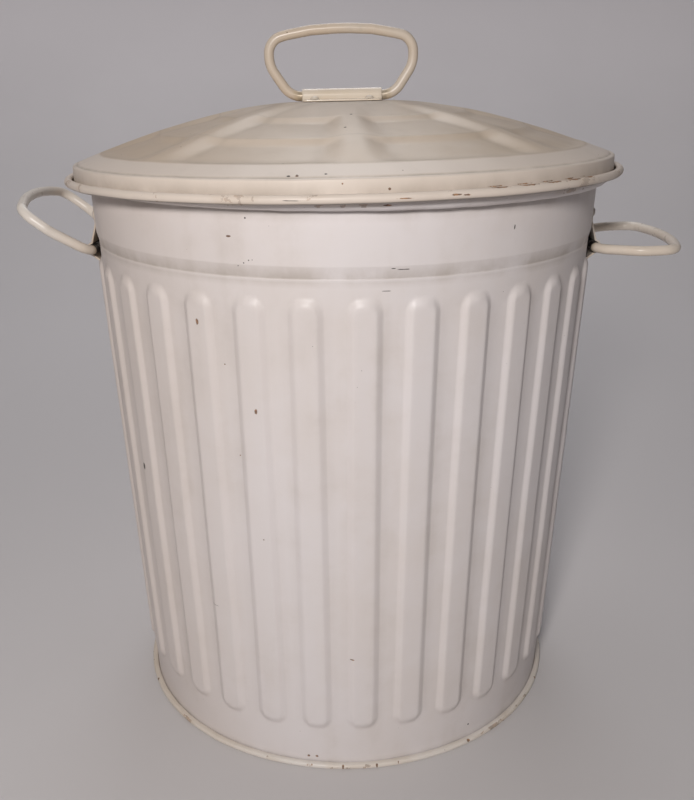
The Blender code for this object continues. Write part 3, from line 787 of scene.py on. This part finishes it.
def panel_drop(radius, heading, from_ridge):
    """How deep the panels between the ridges are pressed, and how dark the ridges' feet are made: partly
    grime, partly painted shade.
    """
    foot = RIDGE_TOP_HALF + 0.0060 + 0.080 * radius
    side = smooth(RIDGE_TOP_HALF, foot, from_ridge)
    recess = PANEL_RECESS * smooth(LID_PAD_RADIUS + 0.006, TERRACE_LINES[0], radius)
    recess *= 1.0 - smooth(BORDER_RADIUS - 0.006, BORDER_RADIUS, radius)
    evenness = 0.55 + 0.45 * math.cos(math.radians(heading)) ** 2
    drop = (recess + evenness * terrace_depth(radius)) * side
    return drop, 0.30 * side * bell(from_ridge - foot, 0.003)


def lid_crease(radius, z, crease):
    """How dark the terrace lines, the groove and the skirt beside the edge curl are made: partly grime,
    partly painted shade.
    """
    for line in TERRACE_LINES:
        crease = max(crease, 0.42 * bell(radius - line + 0.0006, 0.0007))
    if z > LID_SHOULDER_Z - LID_SHOULDER_ROUND - 0.0002:
        crease = max(crease, 0.95 * bell(radius - LID_GROOVE_RADIUS, 0.0008))
    if SKIRT_RADIUS - 0.0002 < radius < SKIRT_RADIUS + 0.0008 and z < 0.0045:
        crease = max(crease, 0.9 * smooth(0.0045, 0.0028, z))
    return crease


def shape_lid_point(point):
    """Press the panels, ridges and terraces into the plain turned lid; gives its values too."""
    radius = math.hypot(point.x, point.y)
    heading = heading_of(point)
    crease = 0.0
    worn = 0.0
    moved = point.copy()
    if radius < BORDER_RADIUS and point.z > LID_SHOULDER_Z:
        drop, crease = panel_drop(radius, heading, ridge_offset(point))
        moved.z -= drop
    crease = lid_crease(radius, point.z, crease)
    if radius > LID_TUBE_CENTRE - 0.0010:
        worn = smooth(LID_TUBE_CENTRE - 0.0004, LID_TUBE_CENTRE + 0.0012, radius)
    swell = dented(point, 0.040, 0.00030) + dented(point, 0.014, 0.00012)
    if radius > BORDER_RADIUS:
        moved += spot(heading, swell * 0.6 + dented(point, 0.0065, 0.00010), 0.0)
        moved.z += dented(point + UP, 0.012, 0.00016)
    else:
        moved.z += swell * smooth(LID_PAD_RADIUS, LID_PAD_RADIUS + 0.02, radius)
    clean = smooth(BORDER_RADIUS - 0.0004, BORDER_RADIUS + 0.0012, radius)
    # Painted shadow along the underside of the lid's edge curl, above the can's rim.
    gap_shadow = 1.0 - smooth(0.0007, 0.0013, point.z) if radius > LID_TUBE_CENTRE else 0.0
    return moved, crease, worn, clean, gap_shadow


def lid_outline():
    """Top face of the lid sheet from the flat pad to the end of its edge curl."""
    radii = [0.006, 0.014, 0.022, LID_PAD_RADIUS] + spread(0.034, 0.0665, 7)
    for line in TERRACE_LINES[:-1]:
        radii += [line - 0.0016, line - 0.0004, line + 0.0004]
        radii += spread(line + 0.0014, line + TERRACE_RISER, 4)
        radii += [line + TERRACE_RISER + 0.0010]
        radii += spread(line + TERRACE_RISER + 0.0050, line + 0.0300, 5)
    radii += [BORDER_RADIUS + offset for offset in (-0.0012, -0.0004, 0.0004, 0.0012)]
    radii += spread(BORDER_RADIUS + 0.0035, LID_SHOULDER_RADIUS - 0.0030, 3)
    outline = [(radius, dome_z(radius)) for radius in radii]
    groove = LID_GROOVE_RADIUS
    edge = [
        (groove - 0.0009, dome_z(groove - 0.0009)),
        (groove, dome_z(groove) - 0.00030),
        (groove + 0.0007, dome_z(groove + 0.0007) + 0.00005),
        (SKIRT_RADIUS - 0.0001, LID_SHOULDER_Z - 0.0002),
        (SKIRT_RADIUS, SHEET),
        (LID_TUBE_CENTRE, SHEET),
    ]
    outline += filleted(edge, [0.0008, 0.0006, 0.0010, 0.0015], 4)
    outline += arc((LID_TUBE_CENTRE, LID_TUBE_RADIUS), LID_TUBE_RADIUS - SHEET, -75, 160, 13)
    return outline


def crowd_to_ridges(mesh):
    """Bring more of the lid's even columns close to the ridges, whose flanks are narrow."""
    period = 360.0 / RIDGE_COUNT
    even_share = 0.55
    for vert in mesh.verts:
        turn = heading_of(vert.co) - RIDGE_PHASE
        ridge = round(turn / period)
        share = (turn - ridge * period) / (period / 2)
        share = even_share * share + (1.0 - even_share) * share**3
        radius = math.hypot(vert.co.x, vert.co.y)
        vert.co = spot(RIDGE_PHASE + period * (ridge + share / 2), radius, vert.co.z)


def make_lid():
    mesh = turned(lid_outline(), RIDGE_COUNT * COLUMNS_PER_RIDGE)
    inner = [edge for edge in mesh.edges if edge.is_boundary and edge.calc_length() < 0.001]
    bmesh.ops.holes_fill(mesh, edges=[edge for edge in inner if edge.verts[0].co.z > LID_SHOULDER_Z], sides=0)
    mesh.transform(Matrix.Rotation(math.radians(RIDGE_PHASE), 4, "Z"))
    crowd_to_ridges(mesh)
    bmesh.ops.recalc_face_normals(mesh, faces=mesh.faces)
    highest = max(mesh.faces, key=lambda face: face.calc_center_median().z)
    if highest.normal.z < 0:
        bmesh.ops.reverse_faces(mesh, faces=mesh.faces)
    layers = value_layers(mesh, "crease", "worn", "clean", "gap_shadow")
    for vert in mesh.verts:
        vert.co, *values = shape_lid_point(vert.co)
        for layer, value in zip(layers, values):
            vert[layer] = value
    mesh.transform(lid_place())
    lid = piece("lid_skin", mesh, lid_paint(), "lid", "lid_shell", 28.0)
    give_thickness(lid, SHEET)


def on_lid(heading, radius, z):
    """A place given in the lid's own frame."""
    return lid_place() @ spot(heading, radius, z)


def on_dome(heading, radius, drop=0.0):
    """A place on the lid's dome, or on a panel pressed down from it."""
    return on_lid(heading, radius, dome_z(radius) - drop)


def lid_paint():
    """The lid's enamel with its own chips, each a place, a reach, a stretch and a raggedness."""
    bead = LID_TUBE_CENTRE + LID_TUBE_RADIUS
    rust = [
        (on_lid(22.8, 0.1516, 0.0098), 0.0008),
        (on_lid(20.5, 0.1517, 0.0100), 0.0006),
        (on_lid(7.6, 0.1526, 0.0057), 0.0008),
        (on_lid(18.2, bead, 0.0026), 0.0011, (0.35, 0.35, 2.0), 0.8),
        (on_lid(20.0, bead, 0.0022), 0.0009, (0.40, 0.40, 2.0), 0.8),
        (on_lid(9.9, bead, 0.0020), 0.0012, (0.30, 0.30, 3.0), 0.8),
        (on_dome(-7.6, 0.1487), 0.0008, (0.8, 0.8, 1.0), 0.7),
    ]
    scrapes = ((26.5, 0.0014, 0.22, 2.6), (32.5, 0.0014, 0.20, 2.8), (38.5, 0.0014, 0.20, 3.0))
    scrapes += ((44.5, 0.0013, 0.20, 3.0), (49.5, 0.0011, 0.25, 3.0))
    for heading, reach, along, up in scrapes:
        top_of_bead = on_lid(heading, LID_TUBE_CENTRE + 0.0004, 2 * LID_TUBE_RADIUS)
        rust.append((top_of_bead, reach, (along, along, up), 0.8))
    dark = [
        (on_dome(-21.4, 0.1041), 0.0009),
        (on_dome(-21.3, 0.1301, 0.0014), 0.0009),
        (on_dome(-11.3, 0.1354), 0.0012),
        (on_dome(-11.2, 0.1303, 0.0012), 0.0008),
        (on_dome(-9.1, 0.1487), 0.0009, (0.8, 0.8, 1.0), 0.7),
        (on_dome(-7.7, 0.1478), 0.0006),
        (on_dome(-2.8, 0.1473), 0.0008),
        (on_lid(-8.1, bead, 0.0021), 0.0016, (0.28, 0.28, 7.0), 0.5),
        (on_dome(3.6, 0.0716), 0.0010),
        (on_dome(0.9, 0.0941), 0.0010),
        (on_dome(41.8, 0.1122), 0.0007),
        (on_dome(28.7, 0.1170, 0.0016), 0.0007),
    ]
    return aged_paint(
        "lid_paint", (0.630, 0.530, 0.430), (0.590, 0.485, 0.376), 0.42, rust, dark, 0.035, 0.35
    )


# ==== wire handles ==========================================================
LID_WIRE_TONE = (0.670, 0.585, 0.490)
SIDE_WIRE_TONE = (0.740, 0.680, 0.610)


def run_on(mesh, ring, edges, run):
    """Carry the wire's open end straight on, in even short lengths."""
    pieces = max(1, round(run.length / WIRE_LENGTH_STEP))
    for _ in range(pieces):
        ring, edges = parts_of(bmesh.ops.extrude_edge_only(mesh, edges=edges)["geom"])
        bmesh.ops.translate(mesh, verts=ring, vec=run / pieces)
    return ring, edges


def bend_on(mesh, ring, edges, centre, turn):
    """Carry the wire's open end round a bend; a positive turn goes left."""
    bent = bmesh.ops.spin(
        mesh,
        geom=ring + edges,
        cent=centre,
        axis=UP * math.copysign(1.0, turn),
        dvec=(0.0, 0.0, 0.0),
        angle=abs(turn),
        steps=max(2, round(abs(turn) / BEND_STEP)),
        use_merge=False,
    )
    return parts_of(bent["geom_last"])


def bent_wire(corners, radii):
    """Round wire in the XY plane: straight runs between corners, each corner a bend of its radius."""
    mesh = bmesh.new()
    points = [Vector((*corner, 0.0)) for corner in corners]
    here = points[0]
    heading = (points[1] - here).normalized()
    stand = Matrix.Translation(here) @ heading.to_track_quat("Z", "Y").to_matrix().to_4x4()
    start = bmesh.ops.create_circle(mesh, segments=WIRE_SIDES, radius=WIRE_RADIUS, matrix=stand)
    ring = start["verts"]
    edges = list(mesh.edges)
    for goal, following, radius in zip(points[1:-1], points[2:], radii):
        onward = (following - goal).normalized()
        turn = math.atan2(heading.cross(onward).z, heading.dot(onward))
        run = goal - heading * (radius * math.tan(abs(turn) / 2)) - here
        ring, edges = run_on(mesh, ring, edges, run)
        here = here + run
        centre = here + Vector((-heading.y, heading.x, 0.0)) * math.copysign(radius, turn)
        ring, edges = bend_on(mesh, ring, edges, centre, turn)
        here = centre + Matrix.Rotation(turn, 3, "Z") @ (here - centre)
        heading = onward
    run_on(mesh, ring, edges, points[-1] - here)
    bmesh.ops.holes_fill(mesh, edges=[edge for edge in mesh.edges if edge.is_boundary], sides=0)
    bmesh.ops.recalc_face_normals(mesh, faces=mesh.faces)
    return mesh


def handle_mesh(half_width, height, bend):
    """Wire loop whose ends stop just short of each other in the clip, with an arched grip."""
    corners = [
        (0.0015, 0.0),
        (half_width * 0.72, 0.0),
        (half_width, height * 0.46),
        (half_width, height * 0.85),
        (half_width * 0.42, height),
    ]
    half_turn = [(-x, y) for x, y in reversed(corners)]
    radii = [0.0125 * bend, 0.0150 * bend, 0.0095 * bend, 0.1150]
    return bent_wire(corners + half_turn, radii + radii[::-1])


def rubbed_by_clip(finish, hinge, along, cloud):
    """Where the wire is rubbed bare beside its clip, and the wider stain round that."""
    from_hinge = finish.vector("SUBTRACT", finish.place, tuple(hinge))
    reach = finish.vector("DOT_PRODUCT", from_hinge, tuple(along), "Value")
    past_clip = finish.node("ShaderNodeMath", {"operation": "ABSOLUTE"}, {0: reach}) - CLIP_HALF_LENGTH
    distance = finish.vector("DISTANCE", finish.place, tuple(hinge), "Value")
    near = finish.below(distance, CLIP_HALF_LENGTH + 0.0035, CLIP_HALF_LENGTH + 0.0075)
    collar = near * finish.below(past_clip + 0.004 * (cloud - 0.5), 0.0022, 0.0036)
    stained = near * finish.below(past_clip + 0.006 * (cloud - 0.5), 0.0040, 0.0075)
    return collar, stained


def handle_paint(name, tone, hinge, along, bare_ends):
    """Glossy yellowed enamel; the wire is rubbed bare and dark next to the clip."""
    finish = Finish(name, 0.28)
    cloud = finish.noise(60.0, 4.0)
    broad = finish.noise(14.0, 3.0)
    brushed = finish.noise(500.0, 2.0)
    warmer_tone = [part * left for part, left in zip(tone, (0.95, 0.90, 0.84))]
    colour = finish.mix(finish.above(broad, 0.38, 0.62), (*tone, 1.0), (*warmer_tone, 1.0))
    colour = finish.mix(finish.above(cloud, 0.55, 0.75) * 0.22, colour, GRIME_AND_SHADE)
    collar, stained = rubbed_by_clip(finish, hinge, along, cloud)
    chips = specks(finish, 260.0, 0.07, 0.0006)
    colour = finish.mix(stained * 0.45, colour, RUBBED_ENAMEL)
    metal = collar * bare_ends
    bare_tone = finish.mix(finish.above(finish.noise(240.0, 3.0), 0.45, 0.6), DARK_SOOT_AND_SHADE, STEEL)
    colour = finish.mix(metal, colour, bare_tone)
    finish.set("Base Color", finish.mix(chips, colour, DARK_RUST))
    finish.set("Metallic", metal * 0.7)
    finish.set("Roughness", 0.27 + 0.12 * (cloud - 0.4) + metal * 0.2 + chips * 0.5)
    relief = cloud * 0.35 + broad * 0.4 + brushed * 0.05 - chips * 0.5 - metal * 0.3
    finish.bump(relief, RELIEF_DEPTH, 0.6)
    return finish.material


def place_handle(name, mesh, place, along, body, node, tone, bare_ends):
    """Set a flat loop in its place with a little hand-bent unevenness."""
    for vert in mesh.verts:
        wander = Vector((dented(vert.co, 0.03, 0.0003), dented(vert.co + UP, 0.03, 0.0003), 0.0))
        vert.co += wander * smooth(0.002, 0.012, vert.co.y)
    mesh.transform(place)
    finish = handle_paint(name + "_paint", tone, place.translation, along, bare_ends)
    return piece(name, mesh, finish, body, node)


def make_lid_handle():
    upright = Matrix.Rotation(math.radians(90.0), 4, "X")
    place = lid_place() @ Matrix.Translation(UP * (LID_APEX_Z + WIRE_STAND_OFF)) @ upright
    along = lid_place().to_3x3() @ Vector((1.0, 0.0, 0.0))
    mesh = handle_mesh(*LID_LOOP_SIZE, 1.0)
    place_handle("lid_loop_wire", mesh, place, along, "lid_loop", "lid_handle", LID_WIRE_TONE, 0.25)


def side_place(side):
    """Axes at a side hinge: X outwards, Y along the hinge, Z up."""
    turn = 0.0 if side == "right" else math.pi
    hinge = Vector(JOINTS[side + "_handle_swing"]["pos_m"])
    return Matrix.Translation(hinge) @ Matrix.Rotation(turn, 4, "Z")


def make_side_handle(side):
    """Half a turn about the diagonal swaps the flat loop's X and Y, so that it reaches outwards."""
    outwards = Matrix.Rotation(math.pi, 4, Vector((1.0, 1.0, 0.0)))
    lift = Matrix.Rotation(-math.radians(LOOP_LIFT[side]), 4, "Y")
    place = side_place(side) @ lift @ outwards
    mesh = handle_mesh(*SIDE_LOOP_SIZE, 1.1)
    along = Vector((0.0, 1.0, 0.0))
    body = side + "_loop"
    place_handle(body + "_wire", mesh, place, along, body, side + "_handle", SIDE_WIRE_TONE, 1.0)


# ==== clips and rivets ======================================================
LID_CLIP_TONE = (0.76, 0.67, 0.56)
SIDE_CLIP_TONE = (0.72, 0.67, 0.62)


def strap(path, follows, bend_radius):
    """Middle face of a strap, swept along the hinge; local X out, Y along the hinge, Z up.

    Where follows is 1, the strap is curved along its length with the can's wall.
    """
    mesh = bmesh.new()
    follow_layer = mesh.verts.layers.float.new("follow")
    line = [mesh.verts.new((x, -CLIP_HALF_LENGTH, z)) for x, z in path]
    for vert, share in zip(line, follows):
        vert[follow_layer] = share
    edges = [mesh.edges.new(pair) for pair in zip(line[:-1], line[1:])]
    pieces = 24
    for _ in range(pieces):
        ring, edges = parts_of(bmesh.ops.extrude_edge_only(mesh, edges=edges)["geom"])
        bmesh.ops.translate(mesh, verts=ring, vec=(0.0, 2 * CLIP_HALF_LENGTH / pieces, 0.0))
    ends = (Vector(path[0]), Vector(path[-1]))
    for vert in mesh.verts:
        here = Vector((vert.co.x, vert.co.z))
        to_edge = min((here - end).length for end in ends)
        if to_edge < CLIP_CORNER:
            cut = CLIP_CORNER - math.sqrt(CLIP_CORNER**2 - (CLIP_CORNER - to_edge) ** 2)
            vert.co.y *= 1.0 - cut / CLIP_HALF_LENGTH
        if bend_radius:
            vert.co.x -= vert[follow_layer] * (bend_radius - math.sqrt(bend_radius**2 - vert.co.y**2))
    bmesh.ops.recalc_face_normals(mesh, faces=mesh.faces)
    crease_layer, worn_layer = value_layers(mesh, "crease", "worn")
    for vert in mesh.verts:
        from_end = CLIP_HALF_LENGTH - abs(vert.co.y)
        # Darker towards the strap's ends: partly grime, partly painted shade.
        vert[crease_layer] = 0.35 * (1.0 - smooth(0.0, 0.0020, from_end))
        vert[worn_layer] = 0.6 * (1.0 - smooth(0.0002, 0.0014, from_end))
    return mesh


def flange_points(first, last):
    """Points along a flange, closer together in its rounded corner."""
    length = (Vector(last) - Vector(first)).length
    stops = [0.0, 0.00025, 0.0008, 0.0016, 0.0030, length]
    return [tuple(Vector(first).lerp(Vector(last), stop / length)) for stop in stops]


def make_lid_clip():
    """Strap bent over the wire, with a flange lying on the lid's pad on each side."""
    off = GAP + STRAP / 2
    low = LID_APEX_Z + off
    inner = CLIP_BEND + 0.0020
    outer = inner + CLIP_FLANGE
    near = filleted([(-inner, low), (-CLIP_BEND - 0.0002, low), (-CLIP_BEND, low + 0.004)], [0.0012], 4)
    wrap = arc((0.0, LID_APEX_Z + WIRE_STAND_OFF), CLIP_BEND, 168, 12, 18)
    left = flange_points((-outer, low), (-inner, low)) + near[1:-2]
    right = [(-x, z) for x, z in reversed(left)]
    path = left + wrap + right
    mesh = strap(path, [0.0] * len(path), 0.0)
    mesh.transform(lid_place() @ Matrix.Rotation(-math.pi / 2, 4, "Z"))
    finish = aged_paint(
        "lid_clip_paint", LID_CLIP_TONE, (0.700, 0.590, 0.450), 0.24, None, None, 0.04, 0.6, 0.35
    )
    finish_strap(piece("lid_clip_strap", mesh, finish, "lid", "lid_handle_clip"))


def finish_strap(clip):
    """Thickness and softened edges."""
    give_thickness(clip, STRAP * 0.96, 0.0)
    soften = clip.modifiers.new("edges", "BEVEL")
    soften.width = 0.00022
    soften.segments = 2
    soften.limit_method = "ANGLE"


def make_side_clip(side):
    """Strap bent round the wire, with one flange on the wall below the step and one on the band."""
    hinge = side_place(side).translation
    axis_radius = abs(hinge.x)
    off = GAP + STRAP / 2
    lower_top = hinge.z - CLIP_BEND - 0.0040
    lower_foot = lower_top - CLIP_FLANGE
    upper_foot = BAND_FOOT_Z + 0.0012
    upper_top = upper_foot + CLIP_FLANGE
    lower_ends = [(wall_radius(z) + off, z) for z in (lower_foot, lower_top)]
    upper_ends = [(band_radius(z) + off, z) for z in (upper_top, upper_foot)]
    lower = flange_points(*lower_ends)
    upper = flange_points(*upper_ends)
    wrap = arc((axis_radius, hinge.z), CLIP_BEND, -78, 78, 16)
    path = lower + wrap + upper[::-1]
    follows = [1.0] * len(lower) + [0.0] * len(wrap) + [1.0] * len(upper)
    mesh = strap(path, follows, BAND_FOOT_RADIUS)
    mesh.transform(Matrix.Rotation(0.0 if side == "right" else math.pi, 4, "Z"))
    # Dark marks in the strap's mouths round the wire: partly grime, partly painted shade.
    mouth_grime_and_shade = []
    for along in (-1, 1):
        mouth = Vector((hinge.x, along * (CLIP_HALF_LENGTH - 0.0002), hinge.z))
        mouth_grime_and_shade.append((mouth, 0.0020, (0.8, 1.8, 0.8), 0.5))
    finish = aged_paint(
        side + "_clip_paint", SIDE_CLIP_TONE, (0.640, 0.550, 0.450), 0.34, None, mouth_grime_and_shade, 0.05, 1.0
    )
    finish_strap(piece(side + "_clip_strap", mesh, finish, "can", side + "_handle_clip"))


def rivet_mesh():
    """Domed head over the strap, shank through the sheet and a small set tail; local Z outwards."""
    seat = 0.0002
    foot = -(STRAP + GAP + SHEET) - seat
    outline = [(0.0, RIVET_HEAD_RISE + seat)]
    for share in spread(0.12, 1.0, 7):
        lift = RIVET_HEAD_RISE * math.sqrt(max(1.0 - share**2, 0.0))
        outline.append((RIVET_HEAD_RADIUS * share, seat + lift))
    outline += [(RIVET_SHANK_RADIUS, seat), (RIVET_SHANK_RADIUS, foot)]
    for angle in (math.radians(10), math.radians(40), math.radians(65)):
        outline.append((RIVET_TAIL_RADIUS * math.cos(angle), foot - RIVET_TAIL_RISE * math.sin(angle)))
    outline.append((0.0, foot - RIVET_TAIL_RISE))
    return turned(outline, 28)


def make_rivets(prefix, body, tone, outwards):
    """One rivet for each CAD rivet, at the middle of its box, facing away from the sheet."""
    aged_tone = tuple(0.86 * part for part in tone)
    finish = aged_paint(prefix + "_paint", tone, aged_tone, 0.32, None, None, 0.1, 1.0)
    for number in range(1, 5):
        node = f"{prefix}_{number}"
        low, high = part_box(node)
        middle = (low + high) / 2
        direction = outwards(middle)
        turn = direction.to_track_quat("Z", "Y").to_matrix().to_4x4()
        mesh = rivet_mesh()
        crease_layer, _ = value_layers(mesh, "crease", "worn")
        for vert in mesh.verts:
            rim = math.hypot(vert.co.x, vert.co.y) / RIVET_HEAD_RADIUS
            # Darker round the head's edge: partly grime, partly painted shade.
            vert[crease_layer] = 0.4 * smooth(0.86, 1.0, rim)
        mesh.transform(Matrix.Translation(middle + direction * RIVET_MIDDLE_DROP) @ turn)
        piece(node + "_dome", mesh, finish, body, node)


def wall_outwards(middle):
    """Outward direction of the wall or band beside a rivet."""
    taper = (NECK_RADIUS - FOOT_RADIUS) / STEP_Z
    level = Vector((middle.x, middle.y, 0.0)).normalized()
    return (level - UP * taper).normalized()


def lid_outwards(middle):
    """Every lid rivet points along the lid's own upright, wherever its middle is."""
    return lid_place().to_3x3() @ UP


# ==== floor, light and camera ===============================================
FLOOR_TONE = (0.630, 0.606, 0.603, 1.0)
# Paler tone up the floor's sweep: painted light on the backdrop.
FLOOR_TOP_PAINTED_LIGHT = (0.800, 0.765, 0.765, 1.0)
FLOOR_FLAT_RADIUS = 1.15
FLOOR_SWEEP_RADIUS = 1.5
FLOOR_FADE_Z = 0.55
KEY_TONE = (1.0, 0.965, 0.945)
BACKDROP_TONE = (0.99, 0.97, 1.0)
FILL_TONE = (0.95, 0.97, 1.0)
WORLD_TONE = (0.035, 0.035, 0.038, 1.0)
FOCAL_LENGTH = 41.59
CAMERA_PLACE = Vector((0.0013, -0.5564, 0.3764))
CAMERA_DIP = math.radians(19.85)
CAMERA_ROLL = math.radians(-0.33)


def make_floor():
    """Round floor that sweeps up gently all the way round, painted paler towards the top of the sweep as
    painted light.
    """
    outline = [(0.0, 0.0), (0.5, 0.0)]
    outline += arc((FLOOR_FLAT_RADIUS, FLOOR_SWEEP_RADIUS), FLOOR_SWEEP_RADIUS, -90, -2, 30)
    mesh = turned(outline, 96)
    data = bpy.data.meshes.new("floor")
    mesh.to_mesh(data)
    mesh.free()
    data.shade_smooth()
    finish = Finish("floor_matt", 0.9)
    cloud = finish.noise(3.0, 3.0)
    height = finish.node("ShaderNodeSeparateXYZ", {}, {0: finish.place}, 2)
    # Paler up the sweep: painted light on the backdrop.
    painted_light_share = finish.above(height + 0.2 * (cloud - 0.5), 0.0, FLOOR_FADE_Z)
    finish.set("Base Color", finish.mix(painted_light_share, FLOOR_TONE, FLOOR_TOP_PAINTED_LIGHT))
    data.materials.append(finish.material)
    floor = bpy.data.objects.new("floor", data)
    bpy.context.scene.collection.objects.link(floor)


def make_light(name, place, aim, size, power, tone):
    """Round soft light that is not seen itself."""
    lamp = bpy.data.lights.new(name, "AREA")
    lamp.shape = "DISK"
    lamp.size = size
    lamp.energy = power
    lamp.color = tone
    item = bpy.data.objects.new(name, lamp)
    item.location = place
    item.rotation_euler = (Vector(place) - Vector(aim)).to_track_quat("Z", "Y").to_euler()
    item.visible_camera = False
    bpy.context.scene.collection.objects.link(item)


def make_lights():
    """A small soft key near the camera, a light on the backdrop and a weak one from behind."""
    make_light("soft_key", (-0.17, -0.96, 0.67), (0.0, -0.05, 0.18), 0.16, 7.3, KEY_TONE)
    make_light("backdrop_light", (-0.2, 0.95, 1.75), (-0.1, 2.0, 0.15), 1.8, 12.5, BACKDROP_TONE)
    make_light("rear_fill", (0.0, 1.35, 1.55), (0.0, 0.1, 0.2), 0.9, 5.0, FILL_TONE)
    world = bpy.data.worlds.new("room")
    world.use_nodes = True
    world.node_tree.nodes["Background"].inputs["Color"].default_value = WORLD_TONE
    bpy.context.scene.world = world


def make_camera():
    """Camera in front of the can, looking down on it and leaning very slightly."""
    camera = bpy.data.cameras.new("camera")
    camera.lens = FOCAL_LENGTH
    camera.sensor_width = 36.0
    item = bpy.data.objects.new("camera", camera)
    item.location = CAMERA_PLACE
    level = Matrix.Rotation(math.pi / 2 - CAMERA_DIP, 4, "X")
    item.rotation_euler = (level @ Matrix.Rotation(CAMERA_ROLL, 4, "Z")).to_euler()
    bpy.context.scene.collection.objects.link(item)
    bpy.context.scene.camera = item
    bpy.context.scene.view_settings.view_transform = "Standard"


# ==== the whole can =========================================================
make_camera()
make_lights()
make_floor()
make_body()
make_rim_wire()
make_base()
make_lid()
make_lid_clip()
make_lid_handle()
for side_name in ("left", "right"):
    make_side_clip(side_name)
    make_side_handle(side_name)
    make_rivets(side_name + "_clip_rivet", "can", SIDE_CLIP_TONE, wall_outwards)
make_rivets("lid_clip_rivet", "lid", LID_CLIP_TONE, lid_outwards)
